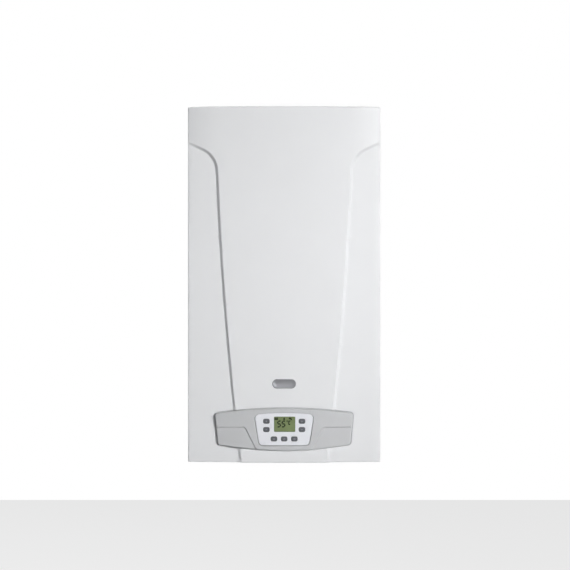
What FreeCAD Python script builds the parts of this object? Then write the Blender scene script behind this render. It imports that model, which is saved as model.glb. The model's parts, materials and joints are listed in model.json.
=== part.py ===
"""Wall-hung gas combination boiler, room sealed and fan assisted.

Frame: millimetres, +Z up, the front faces -Y. The origin is midway between the two wall hook
holes, on the back face that lies against the wall. A depth is a distance from the wall, so y = -depth.
"""
import FreeCAD, Part
import math
import os
import Sketcher

# Driving sizes, in millimetres, degrees and counts
SIZES = {
    # Casing
    "case_width": 400,
    "case_height": 738,
    "case_depth": 299,
    "hook_drop": 45,
    "hook_spacing": 280,
    "hook_hole_radius": 6,
    "frame_low": 20,
    "frame_fold": 12,
    "casing_gauge": 1,
    "frame_gauge": 1.5,
    "frame_depth": 80,
    "part_gap": 0.3,
    "cut_overrun": 5,
    # Front cover
    "cover_setback": 7,
    "cover_bow": 12,
    "cover_return": 30,
    "cover_corner": 6,
    "emboss_height": 4,
    "emboss_edge_drop": 73,
    "emboss_bend_reach": 32,
    "emboss_bend_drop": 15,
    "emboss_bend_radius": 50,
    "emboss_neck_half": 139.5,
    "emboss_neck_drop": 134,
    "emboss_foot_half": 90.5,
    "emboss_side_radius": 7600,
    "side_fold": 12,
    "cover_fold_rise": 3.5,
    "cover_gap": 1,
    "panel_back": 3,
    "cover_tab_reach": 40,
    "cover_tab_length": 46,
    "cover_tab_lift": 2,
    "cover_screw_inset": 24,
    "cover_screw_back": 9,
    # Badge plate
    "badge_half_width": 24.4,
    "badge_half_height": 9.6,
    "badge_thickness": 1.6,
    "badge_height": 163.5,
    # Screws
    "screw_radius": 2,
    "screw_hole_gap": 0.15,
    "screw_head_radius": 4,
    "screw_head": 2.4,
    "screw_length": 9,
    # Facia and display
    "facia_height": 70.3,
    "facia_half_width": 142.6,
    "facia_foot_half": 137.4,
    "facia_mid_half": 43.5,
    "facia_end_half": 32.4,
    "facia_corner": 6,
    "facia_draft": 2.2,
    "facia_wall": 2.4,
    "facia_step": 1.4,
    "facia_step_drop": 4.5,
    "facia_step_half": 79,
    "facia_step_bend": 6,
    "facia_step_foot": 55,
    "aperture_gap": 2.4,
    "bezel_top_half": 60.2,
    "bezel_foot_half": 51.4,
    "bezel_half_height": 33.6,
    "bezel_flange": 3,
    "bezel_boss_radius": 2.5,
    "bezel_boss_x": 46,
    "bezel_boss_z": 26,
    "bezel_corner": 10,
    "bezel_gap": 0.5,
    "bezel_inset": 0.5,
    "bezel_plate": 3.2,
    "lcd_half_width": 22.4,
    "lcd_half_height": 15.7,
    "lcd_lift": 10.4,
    "lcd_recess": 1.2,
    "button_half_width": 6.6,
    "button_half_height": 5,
    "button_corner": 3.4,
    "button_gap": 0.3,
    "button_proud": 1,
    "button_travel": 1.2,
    "button_flange": 1.6,
    "button_flange_thickness": 1.2,
    "button_column": 36.7,
    "button_upper": 16.3,
    "button_middle": 0.8,
    "button_lower": 20.2,
    "button_lower_pitch": 21.1,
    "switch_half": 3,
    "switch_height": 3.8,
    # Control box
    "box_half_width": 150,
    "box_low": 14,
    "box_high": 122,
    "box_setback": 31,
    "box_depth": 32,
    "box_wall": 2.4,
    "box_window_half": 126,
    "box_window_half_height": 24,
    "lid_thickness": 3,
    "lid_lip": 5,
    "display_half_width": 50,
    "display_half_height": 30,
    "board_half_width": 118,
    "board_half_height": 44,
    "board_post_inset": 6,
    "board_thickness": 1.6,
    "board_post_radius": 4,
    "transformer_half": 18,
    "transformer_height": 16,
    "relay_half_width": 9,
    "relay_height": 12,
    "hinge_pin_radius": 4,
    "hinge_pin_length": 8,
    "hinge_height": 21,
    "hinge_arm_gap": 1.5,
    "hinge_arm_thickness": 2,
    "hinge_arm_top": 52,
    "hinge_arm_margin": 8,
    # Sealed chamber
    "chamber_height": 300,
    "chamber_side_gap": 9,
    "chamber_flange": 18,
    "seal_thickness": 3,
    "seal_width": 8,
    "seal_inset": 2,
    "lid_margin": 4,
    "lid_gauge": 1,
    "lid_panel_inset": 26,
    "lid_panel_rise": 4,
    "glass_radius": 17,
    "glass_ring": 7,
    "glass_ring_height": 4,
    "glass_thickness": 3,
    "glass_above_burner": 24,
    "chamber_screw_inset": 6,
    "chamber_ear_height": 20,
    "chamber_ear_inset": 40,
    "fold_screw_inset": 6,
    # Combustion
    "fire_half_width": 125,
    "fire_back": 95,
    "fire_setback": 9,
    "fire_wall": 1,
    "fire_base": 62,
    "fire_height": 100,
    "board_insulation": 12,
    "exchanger_height": 65,
    "fin_thickness": 1,
    "fin_margin": 14,
    "fin_count": 32,
    "tube_radius": 9,
    "tube_wall": 1.2,
    "tube_pitch": 28,
    "tube_overhang": 8,
    "burner_floor": 14,
    "burner_back": 100,
    "burner_setback": 17,
    "burner_rail": 4,
    "burner_half_width": 116,
    "blade_thickness": 9,
    "blade_count": 12,
    "manifold_depth": 20,
    "manifold_gap": 3,
    "manifold_low": 24,
    "manifold_high": 44,
    "injector_radius": 3.2,
    "electrode_radius": 4,
    "electrode_rise": 12,
    "electrode_reach": 8,
    "electrode_length": 38,
    "electrode_tip_radius": 1.2,
    "electrode_tip_length": 9,
    "ignition_offset": 34,
    "sensing_offset": 50,
    # Flue hood and fan
    "hood_height": 65,
    "hood_neck_half": 58,
    "hood_neck_depth": 50,
    "hood_riser": 112,
    "hood_gauge": 1.2,
    "fan_radius": 58,
    "fan_width": 54,
    "fan_gauge": 1.2,
    "fan_rise": 60,
    "fan_inlet_radius": 26,
    "duct_half_width": 30,
    "impeller_radius": 46,
    "impeller_width": 38,
    "impeller_ring": 9,
    "impeller_disc": 2,
    "impeller_blades": 24,
    "impeller_blade": 1.4,
    "impeller_hub": 10,
    "impeller_gap": 5,
    "shaft_radius": 4,
    "shaft_hole_radius": 7,
    "fan_motor_half": 27,
    "fan_motor_length": 36,
    "fan_coil_radius": 12,
    "fan_bearing": 6,
    "collar_inner_radius": 30,
    "collar_outer_radius": 50,
    "collar_wall": 1.5,
    "collar_rise": 6,
    "collar_flange": 10,
    "collar_drop": 20,
    "gasket_thickness": 2,
    "collar_spoke": 3,
    # Air pressure switch
    "air_switch_radius": 30,
    "air_switch_depth": 26,
    "air_switch_x": 122,
    "air_switch_rise": 14,
    "air_switch_lip": 3,
    "air_nipple_length": 8,
    "air_tube_radius": 4.4,
    "air_tube_bore": 3,
    "air_tube_bend": 20,
    # Expansion vessel
    "vessel_radius": 160,
    "vessel_depth": 74,
    "vessel_height": 480,
    "vessel_shoulder": 22,
    "vessel_rim": 4,
    "vessel_rim_depth": 8,
    "vessel_wall": 1.5,
    "nipple_radius": 9,
    "nipple_length": 12,
    "vessel_pipe_radius": 6,
    "vessel_pipe_level": 262,
    "vessel_pipe_bend": 14,
    # Connections under the boiler
    "tail_depth": 115,
    "tail_pitch": 65,
    "tail_end": 7,
    "large_thread_radius": 13.2,
    "small_thread_radius": 10.5,
    "tail_bore": 3,
    "nut_extra": 3,
    "nut_thickness": 5,
    "plate_level": 32,
    "plate_front": 152,
    "plate_lip": 12,
    "plate_hole_gap": 1.5,
    # Hydraulic groups
    "column_radius": 20,
    "column_low": 37,
    "column_high": 140,
    "small_column_radius": 15,
    "small_column_high": 92,
    "valve_bore": 12,
    "valve_neck": 6,
    "stub_radius": 11,
    "boss_radius": 13,
    "boss_reach": 26,
    "flow_port_level": 105,
    "link_level": 58,
    "link_radius": 8,
    "bonnet_drop": 14,
    "relief_offset": 36,
    "relief_radius": 12,
    "relief_high": 84,
    "knob_radius": 12,
    "knob_height": 20,
    "knob_flutes": 8,
    "knob_flute_radius": 2.2,
    "knob_low": 9,
    "stem_radius": 4,
    "stem_length": 9,
    "exchanger_port_x": 70,
    "exchanger_port_low": 76,
    "exchanger_port_high": 118,
    "plates_half_length": 95,
    "plates_low": 60,
    "plates_high": 134,
    "plates_corner": 18,
    "plates_depth": 34,
    "plates_count": 14,
    "plates_thickness": 1.4,
    "plates_inset": 1.5,
    # Diverter valve
    "spindle_radius": 3.5,
    "spindle_low": 62,
    "spindle_high": 176,
    "spindle_travel": 8,
    "shutter_height": 8,
    "shutter_level": 78,
    "actuator_half_width": 22,
    "actuator_depth": 30,
    "actuator_height": 58,
    "actuator_round": 5,
    # Pump
    "pump_level": 188,
    "volute_radius": 48,
    "volute_back": 130,
    "volute_front": 172,
    "volute_wall": 5,
    "suction_radius": 24,
    "suction_back": 98,
    "neck_radius": 14,
    "outlet_offset": 38,
    "outlet_depth": 150,
    "outlet_level": 252,
    "pump_motor_radius": 45,
    "pump_motor_length": 62,
    "pump_motor_wall": 4,
    "pump_can_radius": 28,
    "pump_rotor_radius": 24,
    "pump_rotor_length": 34,
    "pump_impeller_radius": 34,
    "pump_impeller_width": 14,
    "terminal_half_width": 24,
    "terminal_height": 14,
    "terminal_depth": 40,
    "vent_radius": 13,
    "vent_level": 248,
    "vent_cap_radius": 7,
    "vent_cap_height": 8,
    "vent_stem_radius": 2.7,
    "vent_stem_length": 8,
    # Gas train
    "gas_valve_half_width": 32,
    "gas_valve_depth": 62,
    "gas_valve_low": 146,
    "gas_valve_high": 232,
    "gas_coil_radius": 16,
    "gas_coil_length": 40,
    "gas_coil_level": 34,
    "gas_servo_radius": 14,
    "gas_servo_height": 22,
    "gas_pipe_radius": 9,
    "gas_pipe_level": 262,
    "gas_pipe_bend": 20,
    # Water pipes
    "pipe_radius": 9,
    "pipe_wall": 1,
    "pipe_bend": 15,
    "flow_pipe_x": 174,
    "return_pipe_level": 276,
    "pipe_hole_gap": 0.8,
    # Cable gland
    "gland_x": 172,
    "gland_radius": 9,
    "gland_nut_radius": 12,
    "gland_nut": 6,
    "gland_length": 26,
    "gland_bore": 4,
}
SHEET = "Sizes"

# Two points nearer than this are one point
ROUNDING = 1e-6

# An edge is upright where its direction's upward share is more than this
UPRIGHT_SHARE = 0.99

# The lid's top and bottom edges have their screws at this share of the way to the corners
LID_SCREW_SHARE = 1 / 3

# The fan motor's coil reaches this share of the way to the sides of its core
COIL_SHARE = 2 / 3

doc = FreeCAD.newDocument("WallBoiler")
sheet = doc.addObject("Spreadsheet::Sheet", SHEET)
for row, (alias, amount) in enumerate(SIZES.items(), start=1):
    sheet.set(f"A{row}", alias)
    sheet.set(f"B{row}", str(amount))
    sheet.setAlias(f"B{row}", alias)
doc.recompute()


class Formula:
    """A size worked out from the sheet: its text, for setExpression, and its value."""

    def __init__(self, text, value):
        self.text = text
        self.value = float(value)

    def __add__(self, other):
        other = formula(other)
        return Formula(f"({self.text} + {other.text})", self.value + other.value)

    def __sub__(self, other):
        other = formula(other)
        return Formula(f"({self.text} - {other.text})", self.value - other.value)

    def __mul__(self, other):
        other = formula(other)
        return Formula(f"({self.text} * {other.text})", self.value * other.value)

    def __truediv__(self, other):
        other = formula(other)
        return Formula(f"({self.text} / {other.text})", self.value / other.value)

    def __radd__(self, other):
        return formula(other) + self

    def __rsub__(self, other):
        return formula(other) - self

    def __rmul__(self, other):
        return formula(other) * self

    def __neg__(self):
        return Formula(f"(0 - {self.text})", -self.value)

    def __float__(self):
        return self.value


def formula(amount):
    """The amount as a Formula, if it isn't one yet."""
    if isinstance(amount, Formula):
        return amount
    return Formula(f"({amount!r})", amount)


def root(amount):
    return Formula(f"sqrt({amount.text})", math.sqrt(amount.value))


def arc_radius(half_chord, rise):
    """The radius of an arc that rises so far over that half chord."""
    return (half_chord * half_chord + rise * rise) / (2 * rise)


class SheetSizes:
    """Gives each alias of the sheet as a Formula: s.case_width."""

    def __getattr__(self, alias):
        return Formula(f"{SHEET}.{alias}", SIZES[alias])


s = SheetSizes()


def bind(thing, formulas):
    """Binds properties of a document object to formulas of the sheet."""
    for name, amount in formulas.items():
        thing.setExpression(name, formula(amount).text)


# Sketches
PLANES = {"plan": "XY_Plane", "front": "XZ_Plane", "side": "YZ_Plane"}


class Circle:
    """A round loop of a sketch."""

    def __init__(self, u, v, radius):
        self.u, self.v, self.radius = formula(u), formula(v), formula(radius)


def add_edge(sketch, start, end, radius):
    """Draws a line, or an arc that turns left for a positive radius and right for a negative one.
    Returns the edge's number and which of its ends are its start and its end."""
    a = FreeCAD.Vector(start[0].value, start[1].value, 0)
    b = FreeCAD.Vector(end[0].value, end[1].value, 0)
    if radius is None:
        return sketch.addGeometry(Part.LineSegment(a, b), False), 1, 2
    left = radius.value > 0
    chord = b - a
    reach = math.sqrt(radius.value**2 - chord.Length**2 / 4)
    normal = FreeCAD.Vector(-chord.y, chord.x, 0).normalize()
    centre = (a + b) * 0.5 + normal * (reach if left else -reach)
    first, last = (a, b) if left else (b, a)
    angles = [math.atan2(p.y - centre.y, p.x - centre.x) for p in (first, last)]
    if angles[1] < angles[0]:
        angles[1] += 2 * math.pi
    circle = Part.Circle(centre, FreeCAD.Vector(0, 0, 1), abs(radius.value))
    edge = sketch.addGeometry(Part.ArcOfCircle(circle, *angles), False)
    bound = sketch.addConstraint(Sketcher.Constraint("Radius", edge, abs(radius.value)))
    sketch.setExpression(f"Constraints[{bound}]", f"abs({radius.text})")
    return (edge, 1, 2) if left else (edge, 2, 1)


def pin_point(sketch, edge, end, u, v):
    """Holds one end of an edge at a place worked out from the sheet."""
    for kind, amount in (("DistanceX", u), ("DistanceY", v)):
        held = sketch.addConstraint(Sketcher.Constraint(kind, -1, 1, edge, end, amount.value))
        sketch.setExpression(f"Constraints[{held}]", amount.text)


def draw_loop(sketch, loop):
    """Draws one closed loop: a Circle, or corners (u, v) or (u, v, radius of the edge that leaves)."""
    if isinstance(loop, Circle):
        centre = FreeCAD.Vector(loop.u.value, loop.v.value, 0)
        round_edge = Part.Circle(centre, FreeCAD.Vector(0, 0, 1), loop.radius.value)
        edge = sketch.addGeometry(round_edge, False)
        bound = sketch.addConstraint(Sketcher.Constraint("Radius", edge, loop.radius.value))
        sketch.setExpression(f"Constraints[{bound}]", loop.radius.text)
        pin_point(sketch, edge, 3, loop.u, loop.v)
        return
    corners = [[formula(amount) for amount in corner] for corner in loop]
    edges = []
    for corner, following in zip(corners, corners[1:] + corners[:1]):
        radius = corner[2] if len(corner) == 3 else None
        edges.append(add_edge(sketch, corner, following, radius))
    for (edge, _, end), (next_edge, start, _) in zip(edges, edges[1:] + edges[:1]):
        sketch.addConstraint(Sketcher.Constraint("Coincident", edge, end, next_edge, start))
    for corner, (edge, start, _) in zip(corners, edges):
        pin_point(sketch, edge, start, corner[0], corner[1])


def add_sketch(body, plane, loops, station, centre=(0, 0)):
    """A sketch on one of the body's own planes, moved along the normal to a station."""
    sketch = body.newObject("Sketcher::SketchObject", body.Name + "_sketch")
    planes = body.Origin.OriginFeatures
    sketch.AttachmentSupport = [(next(f for f in planes if f.Role == PLANES[plane]), "")]
    sketch.MapMode = "FlatFace"
    bind(sketch, {
        "AttachmentOffset.Base.x": centre[0],
        "AttachmentOffset.Base.y": centre[1],
        "AttachmentOffset.Base.z": station,
    })
    for loop in loops:
        draw_loop(sketch, loop)
    return sketch


def add_pad(body, plane, loops, low, high):
    """Pads loops between two stations: depths on the front plane, heights on plan, x on side."""
    pad = body.newObject("PartDesign::Pad", body.Name + "_pad")
    pad.Profile = add_sketch(body, plane, loops, low)
    bind(pad, {"Length": formula(high) - low})
    doc.recompute()
    return pad


def prism(name, plane, loops, low, high):
    """A new body padded from loops."""
    body = doc.addObject("PartDesign::Body", name)
    add_pad(body, plane, loops, low, high)
    return body


def add_pattern(body, feature, axis, length, count):
    """Repeats a feature along one of the body's own axes."""
    pattern = body.newObject("PartDesign::LinearPattern", body.Name + "_pattern")
    pattern.Originals = [feature]
    axes = body.Origin.OriginFeatures
    pattern.Direction = (next(f for f in axes if f.Role == axis), [""])
    bind(pattern, {"Length": length, "Occurrences": count})
    body.Tip = pattern
    doc.recompute()
    return pattern


def turned(name, axis, centre, profile):
    """A body turned from a profile of (station along the axis, radius). The axis is "x", "y" or "z",
    and centre holds the two other coordinates."""
    body = doc.addObject("PartDesign::Body", name)
    u, v = centre
    if axis == "z":
        loop = [(r, along, *rest) for along, r, *rest in profile]
        sketch = add_sketch(body, "front", [loop], -formula(v), (u, 0))
        line = "V_Axis"
    elif axis == "y":
        sketch = add_sketch(body, "side", [profile], u, (0, v))
        line = "H_Axis"
    else:
        sketch = add_sketch(body, "front", [profile], -formula(u), (0, v))
        line = "H_Axis"
    spin = body.newObject("PartDesign::Revolution", name + "_turn")
    spin.Profile = sketch
    spin.ReferenceAxis = (sketch, [line])
    spin.Angle = 360
    doc.recompute()
    return body


def round_edges(body, radius, chosen):
    """Rounds the edges of a body whose middle point passes the test."""
    base = body.Tip
    names = [
        f"Edge{number}"
        for number, edge in enumerate(base.Shape.Edges, start=1)
        if chosen(edge, edge.valueAt((edge.FirstParameter + edge.LastParameter) / 2))
    ]
    rounding = body.newObject("PartDesign::Fillet", body.Name + "_round")
    rounding.Base = (base, names)
    bind(rounding, {"Radius": radius})
    body.Tip = rounding
    doc.recompute()
    return rounding


# Simple solids and booleans
def block(name, x, y, z):
    """A box between two x, two y and two z."""
    box = doc.addObject("Part::Box", name)
    bind(box, {
        "Length": formula(x[1]) - x[0],
        "Width": formula(y[1]) - y[0],
        "Height": formula(z[1]) - z[0],
        "Placement.Base.x": x[0],
        "Placement.Base.y": y[0],
        "Placement.Base.z": z[0],
    })
    return box


def deep(near, far):
    """The y span between two depths from the wall."""
    return -formula(far), -formula(near)


TURNS = {
    "x": FreeCAD.Rotation(FreeCAD.Vector(0, 1, 0), 90),
    "y": FreeCAD.Rotation(FreeCAD.Vector(1, 0, 0), -90),
    "z": FreeCAD.Rotation(),
}


def rod(name, axis, centre, radius, span):
    """A cylinder along an axis, between two stations on it."""
    cylinder = doc.addObject("Part::Cylinder", name)
    cylinder.Placement = FreeCAD.Placement(FreeCAD.Vector(), TURNS[axis])
    others = [letter for letter in "xyz" if letter != axis]
    bind(cylinder, {
        "Radius": radius,
        "Height": formula(span[1]) - span[0],
        f"Placement.Base.{axis}": span[0],
        f"Placement.Base.{others[0]}": centre[0],
        f"Placement.Base.{others[1]}": centre[1],
    })
    return cylinder


def fuse(name, *parts):
    joined = doc.addObject("Part::MultiFuse", name)
    joined.Shapes = list(parts)
    joined.Refine = True
    return joined


def cut(name, base, *tools):
    result = doc.addObject("Part::Cut", name)
    result.Base = base
    result.Tool = tools[0] if len(tools) == 1 else fuse(name + "_tools", *tools)
    return result


def common(name, *parts):
    result = doc.addObject("Part::MultiCommon", name)
    result.Shapes = list(parts)
    return result


def group(name, *parts):
    """Separate solids kept as one object."""
    result = doc.addObject("Part::Compound", name)
    result.Links = list(parts)
    return result


def loft(name, plane, sections):
    """A ruled loft through (station, loop) sections on one plane."""
    body = doc.addObject("PartDesign::Body", name)
    sketches = [add_sketch(body, plane, [loop], station) for station, loop in sections]
    skin = body.newObject("PartDesign::AdditiveLoft", name + "_loft")
    skin.Profile = sketches[0]
    skin.Sections = sketches[1:]
    skin.Ruled = True
    doc.recompute()
    return body


def rounded_box(low_u, high_u, low_v, high_v, radius):
    """A rectangle loop with round corners."""
    low_u, high_u, low_v, high_v = map(formula, (low_u, high_u, low_v, high_v))
    return [
        (low_u + radius, low_v),
        (high_u - radius, low_v, radius),
        (high_u, low_v + radius),
        (high_u, high_v - radius, radius),
        (high_u - radius, high_v),
        (low_u + radius, high_v, radius),
        (low_u, high_v - radius),
        (low_u, low_v + radius, radius),
    ]


def rectangle(low_u, high_u, low_v, high_v):
    return [(low_u, low_v), (high_u, low_v), (high_u, high_v), (low_u, high_v)]


def pipe_solid(points, radius, bend):
    """A round bar along straight runs that tangent arcs join."""
    path = [FreeCAD.Vector(*(formula(amount).value for amount in point)) for point in points]
    bend = formula(bend).value
    edges = []
    start = path[0]
    for before, corner, after in zip(path, path[1:], path[2:]):
        come = (corner - before).normalize()
        leave = (after - corner).normalize()
        trim = bend * math.tan(come.getAngle(leave) / 2)
        enter, leaving = corner - come * trim, corner + leave * trim
        inward = (leave - come).normalize()
        centre = corner + inward * math.hypot(trim, bend)
        middle = centre - inward * bend
        if (enter - start).Length > ROUNDING:
            edges.append(Part.LineSegment(start, enter).toShape())
        edges.append(Part.Arc(enter, middle, leaving).toShape())
        start = leaving
    edges.append(Part.LineSegment(start, path[-1]).toShape())
    circle = Part.Circle(path[0], path[1] - path[0], formula(radius).value).toShape()
    return Part.Wire(edges).makePipeShell([Part.Wire([circle])], True, True)


def pipe(name, points, radius, bore, bend):
    """A bent tube, made from its path: no ready feature bends a tube through three planes."""
    tube = doc.addObject("Part::Feature", name)
    tube.Shape = pipe_solid(points, radius, bend).cut(pipe_solid(points, bore, bend))
    tube.Placement = FreeCAD.Placement()
    return tube


nodes = {}


def keep(name, thing):
    """Names a finished sub-part. Its label is the name of its file."""
    thing.Label = name
    nodes[name] = thing
    return thing


# Levels and depths that several sub-parts share
side = s.case_width / 2
top = s.hook_drop
bottom = top - s.case_height
inner_side = side - s.casing_gauge
chamber_half = inner_side - s.chamber_side_gap
chassis_top = top - s.casing_gauge - s.part_gap


def level(height):
    """A height above the case's bottom edge, as z."""
    return bottom + height


raised_crown = s.case_depth - s.cover_setback
base_crown = raised_crown - s.emboss_height
bow_radius = arc_radius(side, s.cover_bow)
return_back = base_crown - s.cover_bow - s.cover_return
chamber_floor = level(s.chamber_height)
fire_low = chamber_floor + s.fire_base
fire_high = fire_low + s.fire_height
exchanger_top = fire_high + s.exchanger_height
tube_level = fire_high + s.exchanger_height / 2
hood_top = exchanger_top + s.hood_height
flow_x = -2 * s.tail_pitch
hot_x = -s.tail_pitch
cold_x = formula(s.tail_pitch)
return_x = 2 * s.tail_pitch
tail_y = -s.tail_depth
panel_front = return_back - s.cover_gap
chamber_front = panel_front - s.casing_gauge
fire_front = chamber_front - s.fire_setback
burner_front = fire_front - s.burner_setback
manifold_back = burner_front + s.manifold_gap
manifold_front = manifold_back + s.manifold_depth
electrode_front = fire_front + s.electrode_reach
electrode_back = electrode_front - s.electrode_length
box_back = s.case_depth - s.box_setback - s.box_depth
box_front = s.case_depth - s.box_setback
frame_half = inner_side - s.part_gap
lid_back = chamber_front + s.seal_thickness
lid_half = inner_side - s.side_fold - s.lid_margin
lid_low = chamber_floor + s.lid_margin
lid_high = chassis_top - s.lid_margin
cover_screw_x = side - s.cover_screw_inset
cover_screw_depth = return_back + s.cover_screw_back
fold_screw_x = inner_side - s.fold_screw_inset
ear_levels = (chamber_floor + s.chamber_ear_inset, chassis_top - s.chamber_ear_inset)
sight_z = fire_low + s.glass_above_burner
electrode_z = fire_low + s.electrode_rise
facia_z = level(s.facia_height)
tube_room = (fire_front - s.fire_back).value / s.tube_pitch.value
# The passes are odd in number, so that the tube goes in and out at opposite sides
tube_passes = 2 * math.floor((tube_room - 1) / 2 + ROUNDING) + 1
tube_reach = s.fire_half_width + s.tube_overhang + s.tube_pitch / 2
first_pass = (s.fire_back + fire_front - (tube_passes - 1) * s.tube_pitch) / 2
last_pass = first_pass + (tube_passes - 1) * s.tube_pitch
riser_front = s.fire_back + s.hood_neck_depth
fan_x = s.duct_half_width - s.fan_radius
fan_z = hood_top + s.fan_rise
fan_front = riser_front + s.fan_width
collar_depth = riser_front + s.fan_width / 2
duct_top = chassis_top - s.collar_drop
screw_hole = s.screw_radius + s.screw_hole_gap


def flank(sign, near, far):
    """The x span between two distances from the middle, on the side that sign gives."""
    near, far = formula(near), formula(far)
    return (near, far) if sign > 0 else (-far, -near)


def drop(radius, half):
    """How far an arc has fallen back at that distance from its middle."""
    return radius - root(radius * radius - half * half)


def bow_loop(crown, half, back):
    """A plan loop from a flat back to a front that is arched like the cover."""
    radius = bow_radius + (crown - base_crown)
    edge = crown - drop(radius, half)
    return [(-half, -edge, radius), (half, -edge), (half, -back), (-half, -back)]


def screw(name, axis, centre, seat, outward):
    """A pan-head screw whose head sits on the seat and points outward along its axis."""
    head, tail = (s.screw_head, s.screw_length) if outward > 0 else (s.screw_length, s.screw_head)
    if outward > 0:
        spans = (seat, seat + head), (seat - tail, seat)
    else:
        spans = (seat - tail, seat), (seat, seat + head)
    return fuse(
        name,
        rod(name + "_head", axis, centre, s.screw_head_radius, spans[0]),
        rod(name + "_shank", axis, centre, s.screw_radius, spans[1]),
    )


# Casing
def rear_frame():
    low, high = level(s.frame_low), chassis_top
    walls = [
        block("frame_back", (-frame_half, frame_half), deep(0, s.frame_gauge), (low, high)),
        block("frame_top", (-frame_half, frame_half), deep(0, s.frame_depth),
              (high - s.frame_gauge, high)),
    ]
    for sign, name in ((-1, "left"), (1, "right")):
        walls.append(block(
            f"frame_{name}_cheek", flank(sign, frame_half - s.frame_gauge, frame_half),
            deep(0, s.frame_depth), (low, high)))
        walls.append(block(
            f"frame_{name}_fold", flank(sign, frame_half - s.frame_fold, frame_half),
            deep(s.frame_depth - s.frame_gauge, s.frame_depth), (chamber_floor, high)))
    holes = [
        rod(f"hook_hole_{name}", "y", (sign * s.hook_spacing / 2, 0), s.hook_hole_radius,
            deep(-s.cut_overrun, s.frame_gauge + s.cut_overrun))
        for sign, name in ((-1, "left"), (1, "right"))
    ]
    keep("rear_frame", cut("frame", fuse("frame_sheets", *walls), *holes))


def side_panel(sign, name):
    tab_low = bottom + s.cover_fold_rise + s.casing_gauge + s.cover_tab_lift
    tab_back = return_back - s.cover_tab_length / 2
    sheets = [
        block(name + "_skin", flank(sign, inner_side, side), deep(s.panel_back, panel_front), (bottom, top)),
        block(name + "_fold", flank(sign, inner_side - s.side_fold, inner_side),
              deep(chamber_front, panel_front), (tab_low, chassis_top)),
        block(name + "_tab", flank(sign, inner_side - s.cover_tab_reach, inner_side),
              deep(tab_back, tab_back + s.cover_tab_length), (tab_low, tab_low + s.casing_gauge)),
    ]
    holes = [rod(
        name + "_tab_hole", "z", (sign * cover_screw_x, -cover_screw_depth), screw_hole,
        (bottom, tab_low + s.cut_overrun))]
    for number, ear in enumerate(ear_levels, start=1):
        holes.append(rod(
            f"{name}_ear_hole_{number}", "y", (sign * fold_screw_x, ear), screw_hole,
            deep(chamber_front - s.cut_overrun, panel_front + s.cut_overrun)))
    keep(name, cut(name + "_cut", fuse(name + "_sheets", *sheets), *holes))


def raised_zone(inset):
    """The outline of the cover's raised middle, which is as wide as the cover at its top."""
    edge = side + s.cut_overrun
    high = top + s.cut_overrun
    low = bottom - s.cut_overrun
    shoulder = top - s.emboss_edge_drop + inset
    bend_x = side - s.emboss_bend_reach
    bend_z = shoulder - s.emboss_bend_drop
    neck = s.emboss_neck_half - inset
    neck_z = top - s.emboss_neck_drop
    foot = s.emboss_foot_half - inset
    return [
        (-edge, high),
        (edge, high),
        (edge, shoulder),
        (side, shoulder),
        (bend_x, bend_z, s.emboss_bend_radius),
        (neck, neck_z, -s.emboss_side_radius),
        (foot, low),
        (-foot, low, -s.emboss_side_radius),
        (-neck, neck_z, s.emboss_bend_radius),
        (-bend_x, bend_z),
        (-side, shoulder),
        (-edge, shoulder),
    ]


def cover_form(name, crown, inset, back, low, high):
    """A closed solid of the cover's form, with its two upright front corners rounded."""
    half = side - inset
    form = prism(name, "plan", [bow_loop(crown, half, back)], low, high)
    edge_y = -(crown - drop(bow_radius, half)).value

    def upright(edge, middle):
        tall = abs(edge.tangentAt(edge.FirstParameter).z) > UPRIGHT_SHARE
        return tall and abs(middle.y - edge_y) < s.cover_corner.value

    round_edges(form, s.cover_corner - inset, upright)
    return form


def facia_loop(grow):
    """The control facia's outline, with arched upper and lower edges, grown all round."""
    wide = s.facia_half_width + grow
    foot = s.facia_foot_half + grow
    corner = s.facia_corner + grow
    mid = s.facia_mid_half + grow
    end = s.facia_end_half + grow
    upper = arc_radius(wide, mid - end)
    lower = arc_radius(foot, mid - end)
    upper_z = facia_z + mid - drop(upper, wide - corner)
    lower_z = facia_z - mid + drop(lower, foot - corner)
    return [
        (foot, facia_z - end + corner),
        (wide, facia_z + end - corner, corner),
        (wide - corner, upper_z, upper),
        (-(wide - corner), upper_z, corner),
        (-wide, facia_z + end - corner),
        (-foot, facia_z - end + corner, corner),
        (-(foot - corner), lower_z, lower),
        (foot - corner, lower_z, corner),
    ]


def front_cover():
    fold = bottom + s.cover_fold_rise
    gauge = s.casing_gauge
    inner_back = return_back - s.cut_overrun
    outer = fuse(
        "cover_outer",
        cover_form("cover_base", base_crown, formula(0), return_back, bottom, top),
        common(
            "cover_raised",
            prism("cover_zone", "front", [raised_zone(0)], return_back, s.case_depth),
            cover_form("cover_raised_form", raised_crown, formula(0), return_back, bottom, top)),
    )
    inner = fuse(
        "cover_inner",
        cover_form("cover_base_inner", base_crown - gauge, gauge, inner_back, fold + gauge, top - gauge),
        cover_form("cover_lip_inner", base_crown - gauge, gauge, inner_back, bottom - s.cut_overrun, fold),
        common(
            "cover_raised_inner",
            prism("cover_zone_inner", "front", [raised_zone(gauge)], return_back, s.case_depth),
            cover_form(
                "cover_raised_inner_form", raised_crown - gauge, gauge, inner_back,
                fold + gauge, top - gauge)),
    )
    aperture = prism(
        "cover_aperture", "front", [facia_loop(s.aperture_gap)], base_crown - s.cover_return, s.case_depth)
    slots = [
        block(f"cover_slot_{name}", (sign * cover_screw_x - screw_hole, sign * cover_screw_x + screw_hole),
              deep(return_back - s.cut_overrun, cover_screw_depth), (fold, fold + gauge))
        for sign, name in ((-1, "left"), (1, "right"))
    ]
    ends = [
        rod(f"cover_slot_end_{name}", "z", (sign * cover_screw_x, -cover_screw_depth), screw_hole,
            (fold, fold + gauge))
        for sign, name in ((-1, "left"), (1, "right"))
    ]
    keep("front_cover", cut("cover", outer, inner, aperture, *slots, *ends))


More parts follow.
